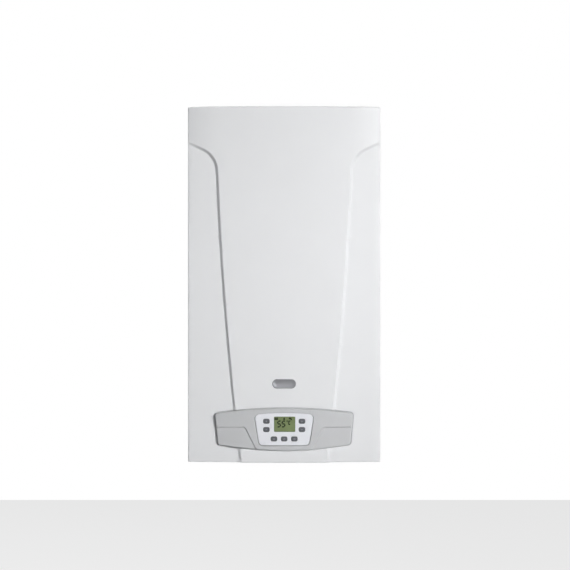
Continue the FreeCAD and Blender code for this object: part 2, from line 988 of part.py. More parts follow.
def cover_badge():
    z = level(s.badge_height)
    half = s.badge_half_height
    loop = rounded_box(-s.badge_half_width, s.badge_half_width, z - half, z + half, half - s.badge_thickness)
    badge = prism("badge", "front", [loop], raised_crown, raised_crown + s.badge_thickness)
    front = -(raised_crown + s.badge_thickness).value
    round_edges(badge, s.badge_thickness / 2, lambda edge, middle: abs(middle.y - front) < s.part_gap.value)
    keep("cover_badge", badge)


def cover_screws():
    seat = bottom + s.cover_fold_rise
    keep("cover_screws", group("cover_screw_pair", *[
        screw(f"cover_screw_{name}", "z", (sign * cover_screw_x, -cover_screw_depth), seat, -1)
        for sign, name in ((-1, "left"), (1, "right"))
    ]))


def casing_screws():
    """The screws of the side panels and of the chamber's lid, which are all alike."""
    panels = [
        screw(f"casing_screw_{name}_{number}", "y", (sign * fold_screw_x, ear), -panel_front, -1)
        for sign, name in ((-1, "left"), (1, "right"))
        for number, ear in enumerate(ear_levels, start=1)
    ]
    lid = [
        screw(f"chamber_screw_{number}", "y", place, -(lid_back + s.lid_gauge), -1)
        for number, place in enumerate(lid_screw_places(), start=1)
    ]
    keep("casing_screws", group("casing_screw_set", *panels, *lid))


hinge_depth = box_back + 2 * s.hinge_pin_radius
hinge_z = level(s.hinge_height)
arm_near = s.box_half_width + s.hinge_arm_gap
relief_x = flow_x - s.relief_offset
filling_x = return_x - s.tail_pitch / 2
large_hole = s.large_thread_radius + s.plate_hole_gap
small_hole = s.small_thread_radius + s.plate_hole_gap
stem_hole = s.stem_radius + s.plate_hole_gap
plate_low = level(s.plate_level)
plate_high = plate_low + s.frame_gauge


def connection_plate():
    half = frame_half - s.frame_gauge
    lip_back = s.plate_front - s.frame_gauge
    sheets = [
        block("plate_sheet", (-half, half), deep(s.frame_gauge, s.plate_front), (plate_low, plate_high)),
        block("plate_lip", (-half, half), deep(lip_back, s.plate_front),
              (plate_low - s.plate_lip, plate_high)),
    ]
    pins = []
    arm_front = hinge_depth + s.hinge_arm_margin
    arm = [
        (-lip_back, plate_low - s.plate_lip),
        (-lip_back, level(s.hinge_arm_top)),
        (-s.plate_front - s.hinge_arm_margin, level(s.hinge_arm_top)),
        (-hinge_depth, hinge_z + s.hinge_arm_margin, s.hinge_arm_margin),
        (-arm_front, hinge_z, s.hinge_arm_margin),
        (-hinge_depth, hinge_z - s.hinge_arm_margin),
    ]
    for sign, name in ((-1, "left"), (1, "right")):
        low, high = flank(sign, arm_near, arm_near + s.hinge_arm_thickness)
        sheets.append(prism(f"hinge_arm_{name}", "side", [arm], low, high))
        pins.append(rod(
            f"hinge_hole_{name}", "x", (-hinge_depth, hinge_z), s.hinge_pin_radius + s.part_gap,
            flank(sign, s.box_half_width, arm_near + s.hinge_arm_thickness + s.cut_overrun)))
    through = (plate_low - s.cut_overrun, plate_high + s.cut_overrun)
    places = (
        ("flow", flow_x, large_hole),
        ("hot", hot_x, small_hole),
        ("gas", 0, large_hole),
        ("cold", cold_x, small_hole),
        ("return", return_x, large_hole),
        ("relief", relief_x, stem_hole),
        ("filling", filling_x, stem_hole),
        ("gland", s.gland_x, s.gland_radius + s.part_gap),
    )
    holes = [rod(f"plate_hole_{name}", "z", (x, tail_y), radius, through) for name, x, radius in places]
    keep("connection_plate", cut("plate", fuse("plate_sheets", *sheets), *pins, *holes))


# Sealed chamber
def chamber_box():
    gauge = s.casing_gauge
    half = chamber_half
    shell = block(
        "chamber_shell", (-half, half), deep(s.frame_depth, chamber_front), (chamber_floor, chassis_top))
    ears = [
        block(f"chamber_ear_{name}_{number}", flank(sign, half, inner_side - gauge),
              deep(chamber_front - gauge, chamber_front),
              (ear - s.chamber_ear_height / 2, ear + s.chamber_ear_height / 2))
        for sign, name in ((-1, "left"), (1, "right"))
        for number, ear in enumerate(ear_levels, start=1)
    ]
    space = block(
        "chamber_space", (gauge - half, half - gauge), deep(s.frame_depth + gauge, chamber_front - gauge),
        (chamber_floor + gauge, chassis_top - gauge))
    mouth = block(
        "chamber_mouth", (s.chamber_flange - half, half - s.chamber_flange),
        deep(chamber_front - s.cut_overrun, chamber_front + s.cut_overrun),
        (chamber_floor + s.chamber_flange, chassis_top - s.chamber_flange))
    floor_span = (chamber_floor - s.cut_overrun, chamber_floor + s.cut_overrun)
    pipe_hole = s.pipe_radius + s.pipe_hole_gap
    holes = [
        rod("chamber_flow_hole", "z", (-s.flow_pipe_x, -last_pass), pipe_hole, floor_span),
        rod("chamber_return_hole", "z", (return_riser_x, -first_pass), pipe_hole, floor_span),
        rod("chamber_gas_hole", "z", (0, -manifold_middle), s.gas_pipe_radius + s.pipe_hole_gap, floor_span),
        rod("chamber_flue_hole", "z", (0, -collar_depth), s.collar_outer_radius,
            (chassis_top - s.cut_overrun, chassis_top + s.cut_overrun)),
    ]
    for sign, name in ((-1, "left"), (1, "right")):
        for number, ear in enumerate(ear_levels, start=1):
            holes.append(rod(
                f"ear_hole_{name}_{number}", "y", (sign * fold_screw_x, ear), screw_hole,
                deep(chamber_front - s.cut_overrun, chamber_front + s.cut_overrun)))
    holes += lid_screw_holes("chamber", chamber_front - s.cut_overrun, chamber_front + s.cut_overrun)
    keep("chamber_box", cut("chamber", fuse("chamber_sheets", shell, *ears), space, mouth, *holes))


def lid_screw_places():
    """Where the lid's screws go: three up each side and two more along the top and the bottom."""
    x = lid_half - s.chamber_screw_inset
    low, high = lid_low + s.chamber_screw_inset, lid_high - s.chamber_screw_inset
    sides = [(sign * x, z) for sign in (-1, 1) for z in (low, (low + high) / 2, high)]
    return sides + [(sign * x * LID_SCREW_SHARE, z) for sign in (-1, 1) for z in (low, high)]


def lid_screw_holes(name, near, far):
    return [
        rod(f"{name}_lid_hole_{number}", "y", place, screw_hole, deep(near, far))
        for number, place in enumerate(lid_screw_places(), start=1)
    ]


def chamber_seal():
    outer = lid_half - s.seal_inset
    inner = outer - s.seal_width
    low, high = lid_low + s.seal_inset, lid_high - s.seal_inset
    band = prism(
        "seal", "front",
        [rectangle(-outer, outer, low, high),
         rectangle(-inner, inner, low + s.seal_width, high - s.seal_width)],
        chamber_front, lid_back)
    keep("chamber_seal", cut("seal_cut", band, *lid_screw_holes("seal", chamber_front, lid_back)))


def chamber_cover():
    inset = s.lid_panel_inset
    gauge = s.lid_gauge
    rim = block("lid_rim", (-lid_half, lid_half), deep(lid_back, lid_back + gauge), (lid_low, lid_high))
    raised = block(
        "lid_raised", (inset - lid_half, lid_half - inset),
        deep(lid_back, lid_back + gauge + s.lid_panel_rise),
        (lid_low + inset, lid_high - inset))
    hollow = block(
        "lid_hollow", (inset + gauge - lid_half, lid_half - inset - gauge),
        deep(lid_back - s.cut_overrun, lid_back + s.lid_panel_rise),
        (lid_low + inset + gauge, lid_high - inset - gauge))
    sight = rod("lid_sight_hole", "y", (0, sight_z), s.glass_radius, deep(lid_back, s.case_depth))
    holes = lid_screw_holes("lid", lid_back - s.cut_overrun, lid_back + s.cut_overrun)
    sheet = cut("lid", fuse("lid_sheets", rim, raised), hollow, sight, *holes)
    keep("chamber_cover", fuse("lid_parts", sheet, sight_ring()))


def sight_ring():
    """The ring that holds the sight glass on the chamber's lid."""
    seat = -(lid_back + s.lid_gauge + s.lid_panel_rise)
    front = seat - s.glass_ring_height
    inner, outer = s.glass_radius - s.glass_thickness, s.glass_radius + s.glass_ring
    return turned("sight_ring", "y", (0, sight_z), [
        (seat, inner),
        (seat, outer),
        (front, outer - s.glass_thickness),
        (front, inner),
    ])


def sight_glass():
    front = lid_back + s.lid_gauge + s.lid_panel_rise
    keep("sight_glass", rod(
        "sight_disc", "y", (0, sight_z), s.glass_radius - s.part_gap,
        deep(front - s.glass_thickness, front)))


# Combustion
manifold_middle = (manifold_back + manifold_front) / 2
return_riser_x = return_x + s.outlet_offset


def electrode_places():
    return (("ignition_electrode", s.ignition_offset), ("sensing_electrode", -s.sensing_offset))


def combustion_casing():
    half = s.fire_half_width
    wall = s.fire_wall
    outer = block("fire_outer", (-half, half), deep(s.fire_back, fire_front), (fire_low, fire_high))
    inner = block(
        "fire_inner", (wall - half, half - wall), deep(s.fire_back + wall, fire_front - wall),
        (fire_low - s.cut_overrun, fire_high + s.cut_overrun))
    legs = [
        block(f"fire_leg_{name}", flank(sign, half - wall, half), deep(s.fire_back, fire_front),
              (chamber_floor + s.casing_gauge, fire_low))
        for sign, name in ((-1, "left"), (1, "right"))
    ]
    holes = front_wall_holes("fire")
    keep("combustion_casing", fuse("fire_casing", cut("fire_walls", outer, inner, *holes), *legs))


def front_wall_holes(name):
    """The holes for the electrodes and the sight glass through the front of the hearth."""
    span = deep(fire_front - s.board_insulation - s.cut_overrun, fire_front + s.cut_overrun)
    holes = [
        rod(f"{name}_hole_{electrode}", "y", (x, electrode_z), s.electrode_radius + s.part_gap, span)
        for electrode, x in electrode_places()
    ]
    holes.append(rod(f"{name}_sight_hole", "y", (0, sight_z), s.glass_radius / 2, span))
    return holes


def insulation_panels():
    wall, board = s.fire_wall, s.board_insulation
    half = s.fire_half_width - wall
    back, front = s.fire_back + wall, fire_front - wall
    z = (fire_low, fire_high)
    rear = block("board_rear", (-half, half), deep(back, back + board), z)
    face = block("board_face", (-half, half), deep(front - board, front), z)
    sides = [
        block(f"board_{name}", flank(sign, half - board, half), deep(back + board, front - board), z)
        for sign, name in ((-1, "left"), (1, "right"))
    ]
    front_board = cut("board_front", face, *front_wall_holes("board"))
    keep("insulation_panels", group("boards", rear, front_board, *sides))


def pass_depth(number):
    """The depth of one of the exchanger's straight passes, counted from the back."""
    return first_pass + number * s.tube_pitch


def heat_exchanger():
    half = s.fire_half_width
    loops = [rectangle(-fire_front, -s.fire_back, fire_high, exchanger_top)]
    loops += [Circle(-pass_depth(number), tube_level, s.tube_radius) for number in range(tube_passes)]
    fins = doc.addObject("PartDesign::Body", "fins")
    fins.AllowCompound = True
    first = s.fin_margin - half
    pad = add_pad(fins, "side", loops, first, first + s.fin_thickness)
    add_pattern(fins, pad, "X_Axis", -2 * first - s.fin_thickness, s.fin_count)
    plates = [
        prism(f"end_plate_{name}", "side", loops, *flank(sign, half - 2 * s.fin_thickness, half))
        for sign, name in ((-1, "left"), (1, "right"))
    ]
    keep("exchanger_fins", group("fin_pack", fins, *plates))
    points = []
    for number in range(tube_passes):
        ends = (tube_reach, -tube_reach) if number % 2 == 0 else (-tube_reach, tube_reach)
        points += [(x, -pass_depth(number), tube_level) for x in ends]
    keep("exchanger_tubes", pipe(
        "tubes", points, s.tube_radius, s.tube_radius - s.tube_wall, s.tube_pitch / 2))


def blade_place(number):
    pitch = 2 * s.burner_half_width / s.blade_count
    return pitch * (number + 0.5) - s.burner_half_width


def burner():
    low, high = chamber_floor + s.burner_floor, fire_low - s.part_gap
    port = (low + high) / 2
    blades = []
    for number in range(SIZES["blade_count"]):
        x = blade_place(number)
        body = block(
            f"blade_{number}", (x - s.blade_thickness / 2, x + s.blade_thickness / 2),
            deep(s.burner_back, burner_front), (low, high))
        mouth = rod(
            f"blade_mouth_{number}", "y", (x, manifold_z), s.injector_radius,
            deep(s.burner_back + s.burner_floor, burner_front + s.cut_overrun))
        blades.append(cut(f"burner_blade_{number}", body, mouth))
    rail_half = s.fire_half_width - s.fire_wall
    rails = [
        block(f"burner_rail_{name}", (-rail_half, rail_half), deep(back, back + s.burner_rail),
              (low - s.burner_rail, low))
        for name, back in (("rear", s.burner_back), ("front", burner_front - s.burner_rail))
    ]
    keep("burner_blades", group("blades", *blades, *rails))


manifold_z = chamber_floor + (s.manifold_low + s.manifold_high) / 2


def burner_manifold():
    half = s.fire_half_width - s.fire_wall
    bar = block(
        "manifold_bar", (-half, half), deep(manifold_back, manifold_front),
        (chamber_floor + s.manifold_low, chamber_floor + s.manifold_high))
    nozzles = [
        rod(f"injector_{number}", "y", (blade_place(number), manifold_z), s.injector_radius - s.part_gap,
            deep(burner_front - s.part_gap, manifold_back + s.part_gap))
        for number in range(SIZES["blade_count"])
    ]
    bore = rod(
        "manifold_bore", "x", (-manifold_middle, manifold_z), s.gas_pipe_radius - s.pipe_wall,
        (s.burner_rail - half, half - s.burner_rail))
    keep("burner_manifold", cut("manifold", fuse("manifold_parts", bar, *nozzles), bore))


def electrodes():
    """The ignition electrode and the flame sensing electrode, each in its ceramic."""
    rods = []
    for name, x in electrode_places():
        centre = (x, electrode_z)
        tip_back = electrode_back - s.electrode_tip_length
        rods.append(fuse(
            name,
            rod(name + "_tip", "y", centre, s.electrode_tip_radius, deep(tip_back, electrode_back)),
            rod(name + "_ceramic", "y", centre, s.electrode_radius,
                deep(electrode_back, electrode_front - s.part_gap)),
            rod(name + "_collar", "y", centre, s.electrode_radius + s.fire_wall,
                deep(fire_front, fire_front + s.fire_wall)),
        ))
    keep("electrodes", group("electrode_pair", *rods))


# Flue hood and fan
def hood_loop(half, back, front):
    return rectangle(-half, half, -formula(front), -formula(back))


def flue_hood():
    gauge = s.hood_gauge
    forms = {}
    for name, inset in (("outer", formula(0)), ("inner", gauge)):
        wide = s.fire_half_width - inset
        neck = s.hood_neck_half - inset
        back, front = s.fire_back + inset, fire_front - inset
        skirt = loft(f"hood_{name}_skirt", "plan", [
            (exchanger_top, hood_loop(wide, back, front)),
            (hood_top, hood_loop(neck, back, riser_front - inset)),
        ])
        riser = block(
            f"hood_{name}_riser", (-neck, neck), deep(back, riser_front - inset),
            (hood_top, hood_top + s.hood_riser - inset))
        forms[name] = fuse(f"hood_{name}", skirt, riser)
    inlet = rod(
        "hood_outlet", "y", (fan_x, fan_z), s.fan_inlet_radius,
        deep(riser_front - s.cut_overrun, riser_front + s.cut_overrun))
    keep("flue_hood", cut("hood", forms["outer"], forms["inner"], inlet))


def scroll_loop(inset):
    """The fan housing's outline: a round scroll with a duct that rises off its right side."""
    radius = s.fan_radius - inset
    duct = s.duct_half_width - inset
    joint = fan_z + root(radius * radius - (duct + fan_x) * (duct + fan_x))
    return [
        (duct, fan_z),
        (duct, duct_top - inset),
        (-duct, duct_top - inset),
        (-duct, joint, radius),
        (fan_x - radius, fan_z, radius),
        (fan_x, fan_z - radius, radius),
    ]


def fan():
    gauge = s.fan_gauge
    outer = prism("scroll_outer", "front", [scroll_loop(formula(0))], riser_front, fan_front)
    inner = prism("scroll_inner", "front", [scroll_loop(gauge)], riser_front + gauge, fan_front - gauge)
    holes = [
        rod("scroll_inlet", "y", (fan_x, fan_z), s.fan_inlet_radius,
            deep(riser_front - s.cut_overrun, riser_front + s.cut_overrun)),
        rod("scroll_shaft_hole", "y", (fan_x, fan_z), s.shaft_hole_radius,
            deep(fan_front - s.cut_overrun, fan_front + s.cut_overrun)),
        rod("scroll_outlet", "z", (0, -collar_depth), s.fan_width / 2 - gauge - s.part_gap,
            (duct_top - s.cut_overrun, duct_top + s.cut_overrun)),
        rod("scroll_tap_hole", "x", (-collar_depth, air_tap_z), s.air_tube_bore,
            (s.duct_half_width - s.cut_overrun, s.duct_half_width + s.cut_overrun)),
    ]
    tap = rod(
        "scroll_tap", "x", (-collar_depth, air_tap_z), s.air_tube_bore,
        (s.duct_half_width - s.fan_gauge, s.duct_half_width + s.air_nipple_length))
    keep("fan_housing", fuse("scroll", cut("scroll_shell", outer, inner, *holes), tap))


impeller_back = riser_front + s.fan_gauge + s.impeller_gap
impeller_front = impeller_back + s.impeller_width
shaft_front = fan_front + s.fan_motor_length - s.fan_bearing
air_tap_z = fan_z + s.air_switch_rise


def fan_impeller():
    centre = (fan_x, fan_z)
    rim = s.impeller_radius
    disc_back = impeller_front - s.impeller_disc
    disc = rod("impeller_disc", "y", centre, rim, deep(disc_back, impeller_front))
    hub = rod("impeller_hub", "y", centre, s.impeller_hub, deep(disc_back - s.impeller_hub, impeller_front))
    shaft = rod("impeller_shaft", "y", centre, s.shaft_radius, deep(disc_back, shaft_front))
    ring = cut(
        "impeller_ring",
        rod("impeller_ring_outer", "y", centre, rim, deep(impeller_back, impeller_back + s.impeller_disc)),
        rod("impeller_ring_inner", "y", centre, rim - s.impeller_ring,
            deep(impeller_back - s.cut_overrun, impeller_back + s.cut_overrun)))
    blades = doc.addObject("PartDesign::Body", "impeller_blades")
    blades.AllowCompound = True
    root_edge, tip = rim - s.impeller_ring + s.part_gap, rim - s.part_gap
    first = add_pad(
        blades, "front", [rectangle(root_edge, tip, -s.impeller_blade / 2, s.impeller_blade / 2)],
        impeller_back, impeller_front)
    pattern = blades.newObject("PartDesign::PolarPattern", "impeller_pattern")
    pattern.Originals = [first]
    pattern.Axis = (next(f for f in blades.Origin.OriginFeatures if f.Role == "Y_Axis"), [""])
    pattern.Angle = 360
    bind(pattern, {"Occurrences": s.impeller_blades})
    blades.Tip = pattern
    bind(blades, {"Placement.Base.x": fan_x, "Placement.Base.z": fan_z})
    doc.recompute()
    keep("fan_impeller", fuse("impeller", disc, hub, shaft, ring, blades))


def fan_motor():
    half = s.fan_motor_half
    front = fan_front + s.fan_motor_length
    core_front = front - s.fan_bearing
    bearing_front = fan_front + s.fan_bearing
    bore = s.shaft_radius + s.part_gap
    flange = rod("fan_flange", "y", (fan_x, fan_z), half, deep(fan_front, bearing_front))
    core = block(
        "fan_core", (fan_x - half, fan_x + half), deep(bearing_front, core_front),
        (fan_z - half, fan_z + half))
    cap = rod("fan_cap", "y", (fan_x, fan_z), half / 2, deep(core_front, front))
    coil_half = half * COIL_SHARE
    coil = rod(
        "fan_coil", "x", (-(bearing_front + core_front) / 2, fan_z - half), s.fan_coil_radius,
        (fan_x - coil_half, fan_x + coil_half))
    hole = rod(
        "fan_motor_bore", "y", (fan_x, fan_z), bore,
        deep(fan_front - s.cut_overrun, shaft_front + s.part_gap))
    keep("fan_motor", cut("fan_motor_cut", fuse("fan_motor_parts", flange, core, cap, coil), hole))


def flue_collar():
    seat = chassis_top + s.gasket_thickness
    high = top + s.collar_rise
    wall = s.collar_wall
    inner, outer = s.collar_inner_radius, s.collar_outer_radius
    axis = (0, -collar_depth)
    air_ring = turned("collar_air_ring", "z", axis, [
        (seat, outer),
        (seat, outer + s.collar_flange),
        (seat + wall, outer + s.collar_flange),
        (seat + wall, outer + wall),
        (high, outer + wall),
        (high, outer),
    ])
    flue_ring = turned("collar_flue_ring", "z", axis, [
        (duct_top, inner), (duct_top, inner + wall), (high, inner + wall), (high, inner)])
    low_spoke = (seat, seat + s.collar_spoke)
    spokes = [
        block(f"collar_spoke_{name}", flank(sign, inner + wall / 2, outer + wall / 2),
              (-collar_depth - s.collar_spoke / 2, -collar_depth + s.collar_spoke / 2), low_spoke)
        for sign, name in ((-1, "left"), (1, "right"))
    ]
    keep("flue_collar", fuse("collar", air_ring, flue_ring, *spokes))
    keep("flue_gasket", turned("gasket", "z", axis, [
        (chassis_top, outer),
        (chassis_top, outer + s.collar_flange),
        (seat, outer + s.collar_flange),
        (seat, outer),
    ]))


def air_pressure_switch():
    x = s.air_switch_x
    back = s.frame_depth + s.casing_gauge
    front = back + s.air_switch_depth
    radius = s.air_switch_radius
    lip = s.air_switch_lip
    lip_back = back + s.air_switch_depth / 2 - lip
    lip_front = lip_back + 2 * lip
    case = turned("air_switch_case", "y", (x, air_tap_z), [
        (-back, 0),
        (-back, radius - lip),
        (-lip_back, radius - lip),
        (-lip_back, radius),
        (-lip_front, radius),
        (-lip_front, radius - lip),
        (-front, radius - 2 * lip),
        (-front, 0),
    ])
    nipple = rod(
        "air_switch_nipple", "y", (x, air_tap_z), s.air_tube_bore,
        deep(front - lip, front + s.air_nipple_length))
    keep("air_pressure_switch", fuse("air_switch", case, nipple))
    keep("pressure_tube", pipe(
        "air_tube",
        [(x, -(front + lip), air_tap_z),
         (x, -collar_depth, air_tap_z),
         (s.duct_half_width + lip, -collar_depth, air_tap_z)],
        s.air_tube_radius, s.air_tube_bore, s.air_tube_bend))


def expansion_vessel():
    radius, shoulder, rim = s.vessel_radius, s.vessel_shoulder, s.vessel_rim
    back = -s.frame_gauge
    front = back - s.vessel_depth
    centre_z = level(s.vessel_height)
    middle = (back + front) / 2
    outer = turned("vessel_outer", "y", (0, centre_z), [
        (back, 0),
        (back, radius - shoulder, shoulder),
        (back - shoulder, radius),
        (middle + s.vessel_rim_depth / 2, radius),
        (middle + s.vessel_rim_depth / 2, radius + rim),
        (middle - s.vessel_rim_depth / 2, radius + rim),
        (middle - s.vessel_rim_depth / 2, radius),
        (front + shoulder, radius, shoulder),
        (front, radius - shoulder),
        (front, 0),
    ])
    wall = s.vessel_wall
    inner = turned("vessel_inner", "y", (0, centre_z), [
        (back - wall, 0),
        (back - wall, radius - shoulder, shoulder - wall),
        (back - shoulder, radius - wall),
        (front + shoulder, radius - wall, shoulder - wall),
        (front + wall, radius - shoulder),
        (front + wall, 0),
    ])
    vessel_foot = centre_z - radius
    nipple_low = vessel_foot - s.nipple_length
    nipple = rod("vessel_nipple", "z", (0, middle), s.nipple_radius, (nipple_low, vessel_foot + wall))
    keep("expansion_vessel", cut("vessel", fuse("vessel_parts", outer, nipple), inner))
    pipe_z = level(s.vessel_pipe_level)
    port_z = level(s.flow_port_level)
    keep("expansion_pipe", pipe(
        "vessel_pipe",
        [(0, middle, nipple_low),
         (0, middle, pipe_z),
         (return_x, middle, pipe_z),
         (return_x, middle, port_z),
         (return_x, -(s.tail_depth - s.boss_reach), port_z)],
        s.vessel_pipe_radius, s.vessel_pipe_radius - s.pipe_wall, s.vessel_pipe_bend))


# Water and gas groups
column_low, column_high = level(s.column_low), level(s.column_high)
small_high = level(s.small_column_high)
port_low, port_high = level(s.exchanger_port_low), level(s.exchanger_port_high)
link_z = level(s.link_level)
plates_back = s.tail_depth - s.boss_reach - s.valve_neck - s.plates_depth - s.plates_inset
plates_front = plates_back + s.plates_depth
spindle_low = level(s.spindle_low)
spindle_high = level(s.spindle_high)
shutter_low = level(s.shutter_level)
shutter_high = shutter_low + s.shutter_height
knob_low = level(s.knob_low)
knob_high = knob_low + s.knob_height
stem_high = knob_high + s.stem_length


def hexagon(x, y, across):
    """A hexagonal plan loop with two flats that face left and right."""
    half = across / 2
    point = across / root(formula(3))
    return [
        (x + half, y - point / 2),
        (x + half, y + point / 2),
        (x, y + point),
        (x - half, y + point / 2),
        (x - half, y - point / 2),
        (x, y - point),
    ]


def tail(name, x, radius, high):
    """A threaded pipe tail with its locknut under the plate. Returns its solids and its bore."""
    across = 2 * (radius + s.nut_extra)
    solids = [
        rod(name + "_tail", "z", (x, tail_y), radius, (level(s.tail_end), high)),
        prism(name + "_nut", "plan", [hexagon(formula(x), tail_y, across)],
              plate_low - s.nut_thickness, plate_low),
        rod(name + "_flange", "z", (x, tail_y), radius + s.nut_extra, (plate_high, column_low)),
    ]
    bore = rod(
        name + "_bore", "z", (x, tail_y), radius - s.tail_bore, (bottom, high - s.valve_neck))
    return solids, bore


def port_stub(name, x, z):
    """A stub from the plate heat exchanger's face to the row of columns."""
    return rod(name, "y", (x, z), s.stub_radius, deep(plates_front, s.tail_depth))


def group_solids(name, sign, column_x, column_top):
    """What the flow side and the return side have alike: two columns, their links and their stubs."""
    port_x = sign * s.exchanger_port_x
    small_x = sign * s.tail_pitch
    solids, large_bore = tail(name, column_x, s.large_thread_radius, column_low + s.valve_neck)
    small, small_bore = tail(name + "_small", small_x, s.small_thread_radius, column_low + s.valve_neck)
    solids += small
    solids += [
        rod(name + "_column", "z", (column_x, tail_y), s.column_radius, (column_low, column_top)),
        rod(name + "_small_column", "z", (small_x, tail_y), s.small_column_radius, (column_low, small_high)),
        rod(name + "_link", "x", (tail_y, link_z), s.link_radius,
            flank(sign, s.tail_pitch, 2 * s.tail_pitch)),
        rod(name + "_upper_link", "x", (tail_y, port_high), s.link_radius,
            flank(sign, s.exchanger_port_x, 2 * s.tail_pitch)),
        port_stub(name + "_low_stub", port_x, port_low),
        port_stub(name + "_high_stub", port_x, port_high),
        rod(name + "_high_cap", "y", (port_x, port_high), s.stub_radius,
            deep(s.tail_depth, s.tail_depth + s.valve_neck)),
    ]
    return solids, [large_bore, small_bore]


def flow_group():
    solids, bores = group_solids("flow", -1, flow_x, column_high)
    boss_end = flow_x - s.boss_reach
    port_z = level(s.flow_port_level)
    relief_high = level(s.relief_high)
    solids += [
        rod("flow_boss", "x", (tail_y, port_z), s.boss_radius, (boss_end, flow_x)),
        rod("relief_link", "x", (tail_y, link_z), s.link_radius, (relief_x, flow_x)),
        rod("relief_body", "z", (relief_x, tail_y), s.relief_radius, (column_low, relief_high)),
        rod("relief_top", "z", (relief_x, tail_y), s.relief_radius - s.nut_extra,
            (relief_high, relief_high + s.nut_thickness)),
    ]
    bores += [
        rod("valve_chamber", "z", (flow_x, tail_y), s.valve_bore,
            (column_low + s.valve_neck, column_high - s.bonnet_drop)),
        rod("spindle_hole", "z", (flow_x, tail_y), s.spindle_radius + s.part_gap,
            (column_low + s.valve_neck, column_high + s.cut_overrun)),
        rod("relief_stem_hole", "z", (relief_x, tail_y), s.stem_radius + s.part_gap,
            (column_low - s.cut_overrun, stem_high + s.part_gap)),
        rod("flow_boss_bore", "x", (tail_y, port_z), s.pipe_radius + s.part_gap,
            (boss_end - s.cut_overrun, boss_end + s.nut_thickness)),
    ]
    keep("flow_group", cut("flow_casting", fuse("flow_parts", *solids), *bores))


def return_group():
    solids, bores = group_solids("return", 1, return_x, column_high)
    port_z = level(s.flow_port_level)
    solids += [
        rod("vessel_boss", "y", (return_x, port_z), s.boss_radius,
            deep(s.tail_depth - s.boss_reach, s.tail_depth)),
        rod("filling_body", "z", (filling_x, tail_y), s.relief_radius,
            (column_low, link_z + s.relief_radius)),
    ]
    bores += [
        rod("vessel_boss_bore", "y", (return_x, port_z), s.vessel_pipe_radius - s.pipe_wall,
            deep(s.tail_depth - s.boss_reach - s.cut_overrun, s.tail_depth)),
        rod("filling_stem_hole", "z", (filling_x, tail_y), s.stem_radius + s.part_gap,
            (column_low - s.cut_overrun, stem_high + s.part_gap)),
    ]
    keep("return_group", cut("return_casting", fuse("return_parts", *solids), *bores))


def plate_exchanger():
    half = s.plates_half_length
    low, high = level(s.plates_low), level(s.plates_high)
    inset = s.plates_inset
    core = prism(
        "plates_core", "front",
        [rounded_box(inset - half, half - inset, low + inset, high - inset, s.plates_corner - inset)],
        plates_back, plates_front)
    stack = doc.addObject("PartDesign::Body", "plates_stack")
    stack.AllowCompound = True
    one = add_pad(
        stack, "front", [rounded_box(-half, half, low, high, s.plates_corner)],
        plates_back, plates_back + s.plates_thickness)
    pattern = stack.newObject("PartDesign::LinearPattern", "plates_pattern")
    pattern.Originals = [one]
    pattern.Direction = (next(f for f in stack.Origin.OriginFeatures if f.Role == "Y_Axis"), [""])
    pattern.Reversed = True
    bind(pattern, {"Length": s.plates_depth - s.plates_thickness, "Occurrences": s.plates_count})
    stack.Tip = pattern
    doc.recompute()
    keep("plate_exchanger", fuse("plates", core, stack))


def diverter_valve():
    axis = (flow_x, tail_y)
    stem = rod("diverter_stem", "z", axis, s.spindle_radius, (spindle_low, spindle_high))
    shutter = rod("diverter_shutter", "z", axis, s.valve_bore - s.part_gap, (shutter_low, shutter_high))
    keep("diverter_spindle", fuse("diverter_spindle_parts", stem, shutter))
    half = s.actuator_half_width
    y = (tail_y - s.actuator_depth, tail_y + s.actuator_depth / 2)
    high = column_high + s.actuator_height
    case = prism(
        "actuator_case", "plan",
        [rounded_box(flow_x - half, flow_x + half, y[0], y[1], s.actuator_round)], column_high, high)
    well = rod(
        "actuator_well", "z", axis, 2 * s.spindle_radius,
        (column_high - s.cut_overrun, spindle_high + s.spindle_travel + s.part_gap))
    keep("diverter_motor", cut("actuator", case, well))


def fluted_knob(name, x):
    """A knob under the plate, with finger flutes, and its stem up into the valve."""
    grip = rod(name + "_grip", "z", (x, tail_y), s.knob_radius, (knob_low, knob_high))
    flutes = [
        rod(f"{name}_flute_{number}", "z",
            (x + s.knob_radius * math.cos(2 * math.pi * number / SIZES["knob_flutes"]),
             tail_y + s.knob_radius * math.sin(2 * math.pi * number / SIZES["knob_flutes"])),
            s.knob_flute_radius, (knob_low - s.cut_overrun, knob_high + s.cut_overrun))
        for number in range(SIZES["knob_flutes"])
    ]
    stem = rod(name + "_stem", "z", (x, tail_y), s.stem_radius, (knob_high, stem_high))
    keep(name, fuse(name + "_parts", cut(name + "_fluted", grip, *flutes), stem))


pump_z = level(s.pump_level)
vent_z = level(s.vent_level)


